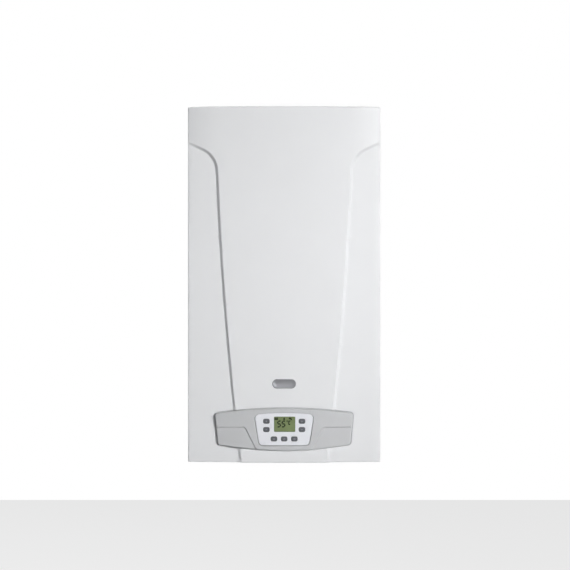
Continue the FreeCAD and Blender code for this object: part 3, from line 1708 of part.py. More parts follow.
def pump():
    wall = s.volute_wall
    outlet_x = return_x + s.outlet_offset
    outlet_high = level(s.outlet_level)
    can_front = s.volute_front + s.pump_motor_length
    rotor_back = s.volute_front + s.part_gap
    solids = [
        rod("volute", "y", (return_x, pump_z), s.volute_radius, deep(s.volute_back, s.volute_front)),
        rod("suction", "y", (return_x, pump_z), s.suction_radius, deep(s.suction_back, s.volute_back)),
        rod("suction_neck", "z", (return_x, tail_y), s.neck_radius, (column_high, pump_z)),
        rod("outlet_neck", "z", (outlet_x, -s.outlet_depth), s.neck_radius, (pump_z, outlet_high)),
        rod("vent_chamber", "z", (return_x, tail_y), s.vent_radius, (pump_z, vent_z)),
    ]
    spaces = [
        rod("volute_space", "y", (return_x, pump_z), s.volute_radius - wall,
            deep(s.volute_back + wall, s.volute_front + s.cut_overrun)),
        rod("suction_space", "y", (return_x, pump_z), s.suction_radius / 2,
            deep(s.suction_back + wall, s.volute_back + wall + s.cut_overrun)),
        rod("neck_space", "z", (return_x, tail_y), s.neck_radius - wall,
            (column_high - s.cut_overrun, pump_z)),
        rod("outlet_space", "z", (outlet_x, -s.outlet_depth), s.pipe_radius,
            (pump_z, outlet_high + s.cut_overrun)),
        rod("vent_hole", "z", (return_x, tail_y), s.vent_stem_radius + s.part_gap,
            (vent_z - s.vent_stem_length - s.part_gap, vent_z + s.cut_overrun)),
    ]
    keep("pump_body", cut("pump_casting", fuse("pump_parts", *solids), *spaces))
    can = rod(
        "pump_can", "y", (return_x, pump_z), s.pump_motor_radius,
        deep(s.volute_front, can_front - s.pump_motor_wall))
    nose = rod(
        "pump_nose", "y", (return_x, pump_z), s.pump_motor_radius - s.pump_motor_wall,
        deep(can_front - s.pump_motor_wall, can_front))
    box_low = pump_z + s.pump_motor_radius - s.pump_motor_wall
    terminals = block(
        "pump_terminals", (return_x - s.terminal_half_width, return_x + s.terminal_half_width),
        deep(s.volute_front + s.pump_motor_wall, s.volute_front + s.pump_motor_wall + s.terminal_depth),
        (box_low - s.pump_motor_wall, box_low + s.terminal_height))
    space = rod(
        "rotor_space", "y", (return_x, pump_z), s.pump_can_radius,
        deep(s.volute_front - s.cut_overrun, rotor_back + s.pump_rotor_length + s.pump_motor_wall))
    bearing = rod(
        "rotor_bearing", "y", (return_x, pump_z), s.shaft_radius + s.part_gap,
        deep(s.volute_front, rotor_back + s.pump_rotor_length + 2 * s.pump_motor_wall + s.part_gap))
    keep("pump_motor", cut("pump_motor_cut", fuse("pump_motor_parts", can, nose, terminals), space, bearing))
    impeller_depth = s.volute_back + 2 * wall
    magnet = rod(
        "rotor_magnet", "y", (return_x, pump_z), s.pump_rotor_radius,
        deep(rotor_back, rotor_back + s.pump_rotor_length))
    wheel = rod(
        "rotor_wheel", "y", (return_x, pump_z), s.pump_impeller_radius,
        deep(impeller_depth, impeller_depth + s.pump_impeller_width))
    shaft = rod(
        "rotor_shaft", "y", (return_x, pump_z), s.shaft_radius,
        deep(impeller_depth, rotor_back + s.pump_rotor_length + 2 * s.pump_motor_wall))
    keep("pump_rotor", fuse("rotor", magnet, wheel, shaft))
    cap = rod(
        "vent_cap_grip", "z", (return_x, tail_y), s.vent_cap_radius,
        (vent_z + s.part_gap, vent_z + s.vent_cap_height))
    stem = rod(
        "vent_cap_stem", "z", (return_x, tail_y), s.vent_stem_radius,
        (vent_z - s.vent_stem_length, vent_z + s.vent_cap_height))
    keep("air_vent_cap", fuse("vent_cap", cap, stem))


def gas_train():
    x = formula(0)
    low, high = level(s.gas_valve_low), level(s.gas_valve_high)
    half = s.gas_valve_half_width
    back = s.tail_depth - s.gas_valve_depth / 2
    front = back + s.gas_valve_depth
    coil_z = low + s.gas_coil_level
    body = block("gas_body", (-half, half), deep(back, front), (low, high))
    coils = [
        rod(f"gas_coil_{name}", "y", (sign * s.gas_coil_radius, coil_z), s.gas_coil_radius - s.part_gap,
            deep(front, front + s.gas_coil_length))
        for sign, name in ((-1, "left"), (1, "right"))
    ]
    servo = rod(
        "gas_servo", "y", (0, high - s.gas_servo_radius - s.valve_neck), s.gas_servo_radius,
        deep(front, front + s.gas_servo_height))
    keep("gas_valve", fuse("gas_valve_parts", body, *coils, servo))
    solids, bore = tail("gas", 0, s.large_thread_radius, column_low + s.valve_neck)
    riser = rod("gas_riser", "z", (0, tail_y), s.gas_pipe_radius, (column_low, low))
    riser_bore = rod(
        "gas_riser_bore", "z", (0, tail_y), s.gas_pipe_radius - s.pipe_wall, (bottom, low + s.cut_overrun))
    keep("gas_supply_pipe", cut("gas_supply", fuse("gas_supply_parts", *solids, riser), bore, riser_bore))
    pipe_z = level(s.gas_pipe_level)
    keep("gas_burner_pipe", pipe(
        "gas_burner",
        [(0, tail_y, high), (0, tail_y, pipe_z), (0, -manifold_middle, pipe_z),
         (0, -manifold_middle, chamber_floor + s.manifold_low)],
        s.gas_pipe_radius, s.gas_pipe_radius - s.pipe_wall, s.gas_pipe_bend))


def water_pipes():
    bore = s.pipe_radius - s.pipe_wall
    high = level(s.return_pipe_level)
    port_z = level(s.flow_port_level)
    x = -s.flow_pipe_x
    keep("flow_pipe", pipe(
        "flow_run",
        [(-tube_reach, -last_pass, tube_level), (x, -last_pass, tube_level), (x, -last_pass, high),
         (x, tail_y, high), (x, tail_y, port_z), (flow_x - s.boss_reach + s.nut_thickness, tail_y, port_z)],
        s.pipe_radius, bore, s.pipe_bend))
    keep("return_pipe", pipe(
        "return_run",
        [(return_riser_x, -s.outlet_depth, level(s.outlet_level)), (return_riser_x, -s.outlet_depth, high),
         (return_riser_x, -first_pass, high), (return_riser_x, -first_pass, tube_level),
         (tube_reach, -first_pass, tube_level)],
        s.pipe_radius, bore, s.pipe_bend))


def cable_gland():
    x, y = s.gland_x, tail_y
    low = plate_low - s.gland_nut
    body = rod("gland_body", "z", (x, y), s.gland_radius, (low, low + s.gland_length))
    nut = prism("gland_nut", "plan", [hexagon(x, y, 2 * s.gland_nut_radius)], low, plate_low)
    lock = prism(
        "gland_lock", "plan", [hexagon(x, y, 2 * s.gland_nut_radius)], plate_high, plate_high + s.gland_nut)
    bore = rod(
        "gland_bore", "z", (x, y), s.gland_bore,
        (low - s.cut_overrun, low + s.gland_length + s.cut_overrun))
    keep("cable_gland", cut("gland", fuse("gland_parts", body, nut, lock), bore))


# Controls
facia_crown = formula(s.case_depth)
bezel_crown = facia_crown - s.bezel_inset
bezel_back = bezel_crown - s.bezel_plate - drop(bow_radius, s.bezel_top_half)
flange_front = bezel_back - s.part_gap
flange_back = flange_front - s.button_flange_thickness
switch_front = flange_back - s.button_travel - s.part_gap
display_front = switch_front - s.switch_height
display_back = display_front - s.board_thickness


def button_places():
    """Each button's name, its x and its height above the facia's middle."""
    column, pitch = s.button_column, s.button_lower_pitch
    upper, middle, lower = s.button_upper, -s.button_middle, -s.button_lower
    return (
        ("heating_up_button", column, upper),
        ("heating_down_button", column, middle),
        ("water_up_button", -column, upper),
        ("water_down_button", -column, middle),
        ("mode_button", -pitch, lower),
        ("reset_button", formula(0), lower),
        ("power_button", pitch, lower),
    )


def bezel_loop(grow):
    """The display panel's outline: a trapezoid with round corners, grown all round."""
    corner = s.bezel_corner + grow
    half = s.bezel_half_height + grow
    wide, foot = s.bezel_top_half + grow, s.bezel_foot_half + grow
    high, low = facia_z + half, facia_z - half
    return [
        (foot, low + corner),
        (wide, high - corner, corner),
        (wide - corner, high),
        (corner - wide, high, corner),
        (-wide, high - corner),
        (-foot, low + corner, corner),
        (corner - foot, low),
        (foot - corner, low, corner),
    ]


def bowed(name, crown):
    """A solid that fills the space behind the bow that passes through a crown."""
    return prism(name, "plan", [bow_loop(crown, side, box_back)], bottom - s.cut_overrun, top)


def control_facia():
    wall = s.facia_wall
    forward = facia_crown + s.cut_overrun
    outer = common(
        "facia_outer",
        loft("facia_draft_form", "front", [
            (box_front, facia_loop(s.facia_draft)),
            (forward, facia_loop(formula(0))),
        ]),
        bowed("facia_bow", facia_crown))
    inner = common(
        "facia_inner",
        loft("facia_inner_form", "front", [
            (box_front - s.cut_overrun, facia_loop(s.facia_draft - wall)),
            (forward, facia_loop(-wall)),
        ]),
        bowed("facia_inner_bow", facia_crown - wall))
    opening = prism("facia_opening", "front", [bezel_loop(s.bezel_gap)], box_front, forward)
    step_z = facia_z + s.facia_step_drop
    edge = s.facia_half_width + s.cut_overrun
    low = facia_z - s.facia_mid_half - s.cut_overrun
    half, bend = s.facia_step_half, s.facia_step_bend
    lowered = [
        cut(
            f"facia_step_{name}",
            prism(f"facia_step_form_{name}", "front", [[
                (sign * edge, low),
                (sign * edge, step_z),
                (sign * half, step_z),
                (sign * (half - bend / 2), step_z - bend),
                (sign * s.facia_step_foot, low),
            ]], box_front + wall, forward),
            bowed(f"facia_step_bow_{name}", facia_crown - s.facia_step))
        for sign, name in ((-1, "left"), (1, "right"))
    ]
    keep("control_facia", cut("facia", outer, inner, opening, *lowered))


def display_bezel():
    front = common(
        "bezel_front", prism("bezel_form", "front", [bezel_loop(formula(0))], bezel_back, facia_crown),
        bowed("bezel_bow", bezel_crown))
    flange_form = prism(
        "bezel_flange_form", "front", [bezel_loop(s.bezel_gap + s.bezel_flange)], bezel_back, facia_crown)
    flange_bow = bowed("bezel_flange_bow", facia_crown - s.facia_wall - s.part_gap)
    flange = common("bezel_flange", flange_form, flange_bow)
    bosses = [
        rod(f"bezel_boss_{number}", "y", (across * s.bezel_boss_x, facia_z + up * s.bezel_boss_z),
            s.bezel_boss_radius, deep(display_front, bezel_back))
        for number, (across, up) in enumerate(((-1, -1), (1, -1), (-1, 1), (1, 1)), start=1)
    ]
    gap = s.button_gap
    holes = [
        prism(f"bezel_hole_{name}", "front", [button_loop(x, z, gap)],
              bezel_back - s.cut_overrun, facia_crown)
        for name, x, z in button_places()
    ]
    lcd = prism("bezel_window", "front", [lcd_loop(gap)], bezel_back - s.cut_overrun, facia_crown)
    keep("display_bezel", cut("bezel", fuse("bezel_parts", front, flange, *bosses), lcd, *holes))


def lcd_loop(grow):
    half, tall = s.lcd_half_width + grow, s.lcd_half_height + grow
    z = facia_z + s.lcd_lift
    return rectangle(-half, half, z - tall, z + tall)


def button_loop(x, z, grow):
    half, tall = s.button_half_width + grow, s.button_half_height + grow
    z = facia_z + z
    return rounded_box(x - half, x + half, z - tall, z + tall, s.button_corner + grow)


def buttons():
    for name, x, z in button_places():
        front = bezel_crown + s.button_proud - drop(bow_radius, x)
        cap = prism(name + "_cap", "front", [button_loop(x, z, formula(0))], flange_back, front)
        edge_y = -front.value
        round_edges(cap, s.button_proud, lambda edge, middle: abs(middle.y - edge_y) < s.part_gap.value)
        flange = prism(
            name + "_flange", "front", [button_loop(x, z, s.button_flange)], flange_back, flange_front)
        keep(name, fuse(name + "_parts", cap, flange))


def display_board():
    half, tall = s.display_half_width, s.display_half_height
    board = block(
        "display_sheet", (-half, half), deep(display_back, display_front), (facia_z - tall, facia_z + tall))
    switches = [
        block(f"switch_{name}", (x - s.switch_half, x + s.switch_half), deep(display_front, switch_front),
              (facia_z + z - s.switch_half, facia_z + z + s.switch_half))
        for name, x, z in button_places()
    ]
    keep("display_board", fuse("display_parts", board, *switches))


def lcd_screen():
    front = bezel_crown - s.lcd_recess
    keep("lcd_screen", prism("lcd", "front", [lcd_loop(formula(0))], display_front, front))


board_back = box_back + s.lid_lip + s.board_thickness
board_front = board_back + s.board_thickness


def control_box():
    half, wall = s.box_half_width, s.box_wall
    low, high = level(s.box_low), level(s.box_high)
    shell = block("box_shell", (-half, half), deep(box_back, box_front), (low, high))
    space = block(
        "box_space", (wall - half, half - wall), deep(box_back - s.cut_overrun, box_front - wall),
        (low + wall, high - wall))
    window = block(
        "box_window", (-s.box_window_half, s.box_window_half),
        deep(box_front - s.cut_overrun, box_front + s.cut_overrun),
        (facia_z - s.box_window_half_height, facia_z + s.box_window_half_height))
    board_x = s.board_half_width - s.board_post_inset
    board_z = s.board_half_height - s.board_post_inset
    middle = (low + high) / 2
    posts = [
        rod(f"box_post_{number}", "y", (across * board_x, middle + up * board_z), s.board_post_radius,
            deep(board_front, box_front - wall))
        for number, (across, up) in enumerate(((-1, -1), (1, -1), (-1, 1), (1, 1)), start=1)
    ]
    pins = [
        rod(f"hinge_pin_{name}", "x", (-hinge_depth, hinge_z), s.hinge_pin_radius,
            flank(sign, half - wall / 2, half + s.hinge_pin_length))
        for sign, name in ((-1, "left"), (1, "right"))
    ]
    keep("control_box", fuse("box", cut("box_tray", shell, space, window), *posts, *pins))
    lid = block("box_lid_sheet", (-half, half), deep(box_back - s.lid_thickness, box_back), (low, high))
    lip_half = half - wall - s.part_gap
    lip = block(
        "box_lid_lip", (-lip_half, lip_half), deep(box_back, box_back + s.lid_lip),
        (low + wall + s.part_gap, high - wall - s.part_gap))
    lip_space = block(
        "box_lid_space", (wall - lip_half, lip_half - wall),
        deep(box_back, box_back + s.lid_lip + s.cut_overrun),
        (low + 2 * wall + s.part_gap, high - 2 * wall - s.part_gap))
    keep("control_box_lid", cut("box_lid", fuse("box_lid_parts", lid, lip), lip_space))


def circuit_board():
    middle = level((s.box_low + s.box_high) / 2)
    half, tall = s.board_half_width, s.board_half_height
    board = block("main_sheet", (-half, half), deep(board_back, board_front), (middle - tall, middle + tall))
    transformer = block(
        "transformer", (-half + s.transformer_half, -half + 3 * s.transformer_half),
        deep(board_front, board_front + s.transformer_height),
        (middle - s.transformer_half, middle + s.transformer_half))
    relays = [
        block(f"relay_{number}", (x - s.relay_half_width, x + s.relay_half_width),
              deep(board_front, board_front + s.relay_height),
              (middle - s.relay_half_width, middle + s.relay_half_width))
        for number, x in enumerate((half / 2, half / 2 + 3 * s.relay_half_width), start=1)
    ]
    keep("circuit_board", fuse("main_board", board, transformer, *relays))


# Every sub-part
rear_frame()
side_panel(-1, "left_side_panel")
side_panel(1, "right_side_panel")
front_cover()
cover_badge()
cover_screws()
casing_screws()
connection_plate()
cable_gland()
chamber_box()
chamber_seal()
chamber_cover()
sight_glass()
combustion_casing()
insulation_panels()
heat_exchanger()
burner()
burner_manifold()
electrodes()
flue_hood()
fan()
fan_impeller()
fan_motor()
flue_collar()
air_pressure_switch()
expansion_vessel()
flow_group()
return_group()
plate_exchanger()
diverter_valve()
fluted_knob("safety_valve_knob", relief_x)
fluted_knob("filling_tap_knob", filling_x)
pump()
gas_train()
water_pipes()
control_box()
circuit_board()
control_facia()
display_bezel()
display_board()
lcd_screen()
buttons()
doc.recompute()

failed = [thing.Name for thing in doc.Objects if {"Invalid", "Error"} & set(thing.State)]
unsound = [name for name, thing in nodes.items() if thing.Shape.isNull() or not thing.Shape.isValid()]
if failed or unsound:
    raise RuntimeError(f"failed: {failed}, unsound: {unsound}")
os.makedirs("parts", exist_ok=True)
for name, thing in nodes.items():
    thing.Shape.exportStep(f"parts/{name}.step")
print(len(nodes), "sub-parts written")
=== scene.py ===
"""Looks of a wall-hung gas boiler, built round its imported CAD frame.

Shapes are written in millimetres in the front view: x to the right, z up, and a depth that is the
distance from the wall, so y = -depth. MM turns them into metres. The lights and the floor are
placed in metres.
"""
import json
import math

import bmesh
import bpy
import numpy as np
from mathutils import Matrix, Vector
from mathutils.geometry import delaunay_2d_cdt

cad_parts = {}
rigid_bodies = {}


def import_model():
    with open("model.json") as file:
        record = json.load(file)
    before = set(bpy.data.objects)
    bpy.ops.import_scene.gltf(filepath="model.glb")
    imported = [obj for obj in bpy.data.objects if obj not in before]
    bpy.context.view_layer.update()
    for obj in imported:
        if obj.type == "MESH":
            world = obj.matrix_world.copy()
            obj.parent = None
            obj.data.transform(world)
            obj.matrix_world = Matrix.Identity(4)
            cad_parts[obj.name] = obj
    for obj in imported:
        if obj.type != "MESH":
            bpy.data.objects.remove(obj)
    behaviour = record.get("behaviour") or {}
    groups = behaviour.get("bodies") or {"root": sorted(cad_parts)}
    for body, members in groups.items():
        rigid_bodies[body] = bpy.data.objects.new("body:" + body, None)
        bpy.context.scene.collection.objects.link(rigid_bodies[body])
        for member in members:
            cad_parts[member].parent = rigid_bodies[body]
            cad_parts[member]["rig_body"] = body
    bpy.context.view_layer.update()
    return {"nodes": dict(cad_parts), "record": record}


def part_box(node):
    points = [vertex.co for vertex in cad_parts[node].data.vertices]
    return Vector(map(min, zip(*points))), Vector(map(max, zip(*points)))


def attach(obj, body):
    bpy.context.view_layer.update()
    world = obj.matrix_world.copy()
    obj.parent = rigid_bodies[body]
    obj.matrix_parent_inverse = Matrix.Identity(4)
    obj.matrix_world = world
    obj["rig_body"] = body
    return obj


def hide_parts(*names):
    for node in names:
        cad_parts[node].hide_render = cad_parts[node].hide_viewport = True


MM = 0.001

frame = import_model()
scene = bpy.context.scene
scene.view_settings.view_transform = "Standard"


def span(node):
    """A node's lowest and highest corner, in millimetres."""
    low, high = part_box(node)
    return np.array(low) / MM, np.array(high) / MM


# Sizes read from the frame
cover_low, cover_high = span("front_cover")
SIDE = cover_high[0]
TOP = cover_high[2]
BOTTOM = cover_low[2]
RAISED_CROWN = -cover_low[1]
RETURN_BACK = -cover_high[1]
facia_low, facia_high = span("control_facia")
FACIA_CROWN = -facia_low[1]
FACIA_BACK = -facia_high[1]
FACIA_MIDDLE = (facia_low[2] + facia_high[2]) / 2

# Cover
GAUGE = 1
COVER_BOW = 12
EMBOSS = 6.6
EMBOSS_SLOPE = 7
SHOULDER_FALL = 5.6
SHOULDER_REACH = 62
COVER_EDGE = 2
COVER_CORNER = 2.2
EDGE_DROP = 74.5
BEND_REACH = 32
BEND_DROP = 15
BEND_RADIUS = 50
NECK_HALF = 139.5
NECK_DROP = 134
FOOT_HALF = 90.5
SIDE_RADIUS = 7600
STEP_PITCH = 4
BEND_STEPS = 14
SIDE_STEPS = 60
COVER_BORDER_PITCH = 10
COVER_BAND = 4.8
COVER_PITCH = 0.6
COVER_GRID = (8, 14)
COVER_CLEAR = 0.4
BAND_CLEAR = 2
LIP_DEPTH = 3
LIP_MARGIN = 0.01
WALL_MARGIN = 1
FOLD_RISE = 3.5
FOLD_POINTS = 101
SCREW_INSET = 24
SCREW_BACK = 9
SLOT_HALF = 2.2
SLOT_POINTS = 9

# Facia and display
APERTURE_GAP = 2.4
FACIA_HALF = 142
FACIA_FOOT_HALF = 136.8
FACIA_MID = 43.5
FACIA_END = 32.4
FACIA_TOP_DROP = 1.4
FACIA_CORNER = 6
FACIA_DRAFT = 1.2
FACIA_WALL = 2.4
FACIA_EDGE = 1.6
FACIA_STEP = 3
STEP_SLOPE = 2.9
STEP_RISE = 3.6
STEP_HALF = 81
STEP_BEND = 8
STEP_FOOT = 57
STEP_BEND_RADIUS = 9
STEP_BEND_STEPS = 8
FACIA_LINE_PITCH = 3
FACIA_OVERRUN_PARTS = 3
FACIA_FRONT_GROW = 0.4
FACIA_FLAT = 64
FACIA_END_FALL = 3
FLANGE_GROW = 5
FLANGE_BORE = 0.6
FLANGE_GAP = 0.5
FLANGE_THICK = 1.6
FLANGE_EDGE = 0.3
FACIA_BAND = 2.2
FACIA_PITCH = 0.4
FACIA_GRID = (5, 5)
FACIA_CLEAR = 0.3
HOLE_EDGE = 0.8
GROOVE = 0.9
GROOVE_TOP = 0.35
BEZEL_TOP_HALF = 60.2
BEZEL_FOOT_HALF = 52.8
BEZEL_HALF_HEIGHT = 33.6
BEZEL_CORNER = 10
BEZEL_ARCH = 2.4
BEZEL_GAP = 0.4
BEZEL_INSET = 0.5
BEZEL_PLATE = 3.2
BEZEL_EDGE = 0.7
BEZEL_HOLE_EDGE = 0.35
BEZEL_PITCH = 4
BEZEL_GRID = 5
BEZEL_CLEAR = 1.4
BUTTON_FLANGE = 1.6
BUTTON_CORNER = 3.4
BUTTON_GAP = 0.2
BUTTON_EDGE = 0.8
BUTTON_CROWN = 0.35
CROWN_REACH_SHARE = 1.6
BUTTON_PITCH = 3
BUTTON_STEPS = 7
BUTTON_GRID = 1.6
BUTTON_CLEAR = 1.1
SYMBOL_LIFT = 0.06

# Screen
LCD_THICK = 2
SCREEN_CORNER = 1.2
SCREEN_EDGE = 0.3
SCREEN_PITCH = 6
SCREEN_STEPS = 4
LCD_LEFT_INSET = 1.8
LCD_TOP_INSET = 0.7
DIGITS_X = (-10.4, -1.3)
DIGITS_Z = 0.3
DIGIT_HALF_WIDTH = 3.1
DIGIT_HALF_HEIGHT = 6
DIGIT_STROKE = 2.7
DIGIT_GAP = 0.25
DIGIT_LEAN = 0.16
INK_LIFT = 0.06
INK_SINK = 0.04
DEGREE_X = 6.6
DEGREE_DROP = 0.4
DEGREE_RADIUS = 1.3
DEGREE_STROKE = 1
DEGREE_STEPS = 12
UNIT_SHIFT = 3.2
UNIT_STROKE = 2
UNIT_LINE = [(3.2, 0), (0.7, 0), (0, -0.7), (-0.4, -6.2), (0.2, -6.9), (2.7, -6.9)]

# Radiator, flame and tap in the screen's top row, each about its own middle
ICON_ROW = 10.9
ICONS_X = (-16.4, 0, 13.4)
RIBS = 4
RIB_START = 3
RIB_PITCH = 2
RIB_HALF = 2.6
RIB_STROKE = 1.5
LINK_LIFT = 1.6
LINK_ENDS = (1.25, 0.75)
LINK_STROKE = 0.7
FLAME_LOOP = [(0, 3), (-1.6, 0.7), (-2, -1), (-1.1, -2.5), (1.1, -2.5), (2, -1), (1.4, 0.9)]
TAP_LOOP = [(-3.9, -0.8), (-0.2, -0.8), (-0.2, -2.7), (2.4, -2.7), (2.4, 0.4), (1.3, 1.6), (-3.9, 1.6)]
TAP_HANDLE = [(-2.8, 2.4), (1, 2.4)]
TAP_STROKE = 1

# Signs on the buttons, each about its cap's middle
SIGN_HALF = 1.7
PLUS_GAP = 0.4
PLUS_STROKE = 0.8
RING_RADIUS = 1.7
RING_STROKE = 0.7
RESET_ANGLES = (0.6, 5.6)
RESET_STEPS = 14
RESET_TIP = [(2.6, -0.4), (1.6, 1.1), (0.6, -0.2)]
LIST_LIFTS = (-1.3, 0, 1.3)
LIST_HALF = 2
LIST_STROKE = 0.6
POWER_DROP = 0.2
POWER_ANGLES = (0.65 * math.pi, 2.35 * math.pi)
POWER_STEPS = 16
POWER_BAR = (0.3, 2.2)

# Badge
BADGE_FLAT = 0.4
BADGE_EDGE = 0.5
BADGE_PITCH = 2
BADGE_STEPS = 14
RIM_WIDTH = 2
RIM_SLOPE = 1
RIM_DROP = 0.5
RIM_START = 0.2

# Meshes
EDGE_STEPS = 5
SHARP_ANGLE = 35
WELD_GAP = 1e-3
MERGE_GAP = 1e-4
TINY = 1e-12
TIE_GAP = 1e-9
MITRE_FLOOR = 0.5
STRIP_MITRE_FLOOR = 0.6

# Materials
NOISE_LOW = 0.3
NOISE_HIGH = 0.7
ROUGH_SHARES = (0.85, 1.15)
MOTTLE_ROUGHNESS = 0.55
BUMP_STRENGTH = 0.3
COAT_ROUGHNESS = 0.12
SPANGLE_SCALE = 150
SPANGLE_TONE_SHARES = (0.93, 1.05)
SPANGLE_ROUGH = (0.46, 0.58)
SPANGLE_METALLIC = 0.9
SPANGLE_FINE = 600
SPANGLE_BUMP = 0.15
SPANGLE_RELIEF = 0.02
GLASS_COLOUR = (0.9, 0.95, 0.93, 1)
GLASS_CLEAR_SHARE = 0.9
GLASS_NOISE = 30
GLASS_ROUGH = (0.02, 0.08)

BOW_RADIUS = (SIDE * SIDE + COVER_BOW * COVER_BOW) / (2 * COVER_BOW)


def bow(x, radius):
    """How far a bowed front has fallen back at a distance x from the middle."""
    return radius - np.sqrt(radius * radius - np.square(x))


# Outlines in the front view
def arc(start, end, radius, steps):
    """Points from start to end, the end left out, on an arc that turns left for a positive radius."""
    start, end = np.array(start, float), np.array(end, float)
    chord = end - start
    length = np.linalg.norm(chord)
    normal = np.array([-chord[1], chord[0]]) / length
    reach = math.sqrt(max(radius * radius - length * length / 4, 0))
    centre = (start + end) / 2 + normal * math.copysign(reach, radius)
    first = math.atan2(*(start - centre)[::-1])
    turn = 2 * math.asin(min(length / (2 * abs(radius)), 1)) * math.copysign(1, radius)
    points = []
    for k in range(steps):
        angle = first + turn * k / steps
        points.append(tuple(centre + abs(radius) * np.array([math.cos(angle), math.sin(angle)])))
    return points


def straight(start, end, pitch):
    """Points from start to end, the end left out, a pitch apart."""
    start, end = np.array(start, float), np.array(end, float)
    steps = max(1, round(float(np.linalg.norm(end - start)) / pitch))
    return [tuple(start + (end - start) * k / steps) for k in range(steps)]


def outline(corners, pitch=6, steps=8):
    """A closed loop from corners (x, z) or (x, z, radius of the edge that leaves)."""
    points = []
    for corner, following in zip(corners, corners[1:] + corners[:1]):
        if len(corner) == 3:
            count = max(steps, round(math.dist(corner[:2], following[:2]) / pitch))
            points += arc(corner[:2], following[:2], corner[2], count)
        else:
            points += straight(corner, following[:2], pitch)
    return points


def rounded(low_x, high_x, low_z, high_z, corner, pitch, steps=8):
    """A rectangle with rounded corners."""
    return outline([
        (low_x + corner, low_z),
        (high_x - corner, low_z, corner),
        (high_x, low_z + corner),
        (high_x, high_z - corner, corner),
        (high_x - corner, high_z),
        (low_x + corner, high_z, corner),
        (low_x, high_z - corner),
        (low_x, low_z + corner, corner),
    ], pitch, steps)


def facia_outline(grow):
    """The facia's outline, whose top and bottom edges are arched. It can be grown."""
    wide, foot = FACIA_HALF + grow, FACIA_FOOT_HALF + grow
    corner = FACIA_CORNER + grow
    mid, end = FACIA_MID + grow, FACIA_END + grow
    upper = (wide * wide + (mid - end) ** 2) / (2 * (mid - end))
    lower = (foot * foot + (mid - end) ** 2) / (2 * (mid - end))
    top_middle = FACIA_MIDDLE - FACIA_TOP_DROP
    upper_z = top_middle + mid - (upper - math.sqrt(upper * upper - (wide - corner) ** 2))
    lower_z = FACIA_MIDDLE - mid + (lower - math.sqrt(lower * lower - (foot - corner) ** 2))
    return outline([
        (foot, FACIA_MIDDLE - end + corner),
        (wide, top_middle + end - corner, corner),
        (wide - corner, upper_z, upper),
        (-(wide - corner), upper_z, corner),
        (-wide, top_middle + end - corner),
        (-foot, FACIA_MIDDLE - end + corner, corner),
        (-(foot - corner), lower_z, lower),
        (foot - corner, lower_z, corner),
    ])


def bezel_outline(grow, grow_top):
    """The bezel's outline, whose top edge is arched. It can be grown, and less so at the top."""
    corner = BEZEL_CORNER + grow
    wide, foot = BEZEL_TOP_HALF + grow, BEZEL_FOOT_HALF + grow
    high = FACIA_MIDDLE + BEZEL_HALF_HEIGHT + grow_top - BEZEL_ARCH
    low = FACIA_MIDDLE - BEZEL_HALF_HEIGHT - grow
    reach = wide - corner
    arch = (reach * reach + BEZEL_ARCH * BEZEL_ARCH) / (2 * BEZEL_ARCH)
    return outline([
        (foot, low + corner),
        (wide, high - corner, corner),
        (reach, high, arch),
        (-reach, high, corner),
        (-wide, high - corner),
        (-foot, low + corner, corner),
        (corner - foot, low),
        (foot - corner, low, corner),
    ], pitch=BEZEL_PITCH)


# Meshes from outlines
def offset(loop, distance):
    """The loop moved to its left by a distance, which is inward for a loop that runs anticlockwise."""
    points = np.array(loop, float)
    ahead = np.roll(points, -1, axis=0) - points
    ahead /= np.linalg.norm(ahead, axis=1)[:, None]
    normal = np.column_stack([-ahead[:, 1], ahead[:, 0]])
    mitre = normal + np.roll(normal, 1, axis=0)
    mitre /= np.maximum(np.sum(mitre * mitre, axis=1) / 2, MITRE_FLOOR)[:, None]
    return points + mitre * distance


def distance_to(points, loop):
    """Each point's distance to a closed loop."""
    points = np.array(points, float)
    line = np.array(loop, float)
    ends = np.roll(line, -1, axis=0)
    best = np.full(len(points), np.inf)
    for start, end in zip(line, ends):
        along = end - start
        share = np.clip(((points - start) @ along) / max(along @ along, TINY), 0, 1)
        best = np.minimum(best, np.linalg.norm(points - start - share[:, None] * along, axis=1))
    return best


def inside(points, loop):
    """Which points lie inside a loop."""
    points = np.array(points, float)
    line = np.array(loop, float)
    ends = np.roll(line, -1, axis=0)
    odd = np.zeros(len(points), bool)
    for (x0, z0), (x1, z1) in zip(line, ends):
        if z0 == z1:
            continue
        crosses = (z0 > points[:, 1]) != (z1 > points[:, 1])
        at = x0 + (points[:, 1] - z0) * (x1 - x0) / (z1 - z0)
        odd ^= crosses & (points[:, 0] < at)
    return odd


def within(points, border, holes):
    """Which points lie inside the border and outside each hole."""
    kept = inside(points, border)
    for hole in holes:
        kept &= ~inside(points, hole)
    return kept


def centres_of(points, faces):
    """The middle of each face."""
    return np.array([points[list(face)].mean(axis=0) for face in faces])


def value_at(amount, points):
    """One value for each point, from a number or from a function of the points."""
    return amount(points) if callable(amount) else np.full(len(points), float(amount))


def round_drop(distance, radius):
    """How far a rounded edge has fallen back at a distance from it."""
    left = np.clip(radius - distance, 0, radius)
    return radius - np.sqrt(np.maximum(radius * radius - left * left, 0))


def triangles(loops, loose):
    """Triangulates loops, whose edges are kept, and loose points."""
    points, edges = [], []
    for loop in loops:
        first = len(points)
        points += [Vector(point) for point in loop]
        edges += [(first + k, first + (k + 1) % len(loop)) for k in range(len(loop))]
    points += [Vector(point) for point in loose]
    found, _, faces, origins, _, _ = delaunay_2d_cdt(points, edges, [], 0, MERGE_GAP)
    where = {}
    for number, sources in enumerate(origins):
        for source in sources:
            where[source] = number
    return np.array([tuple(point) for point in found]), faces, where


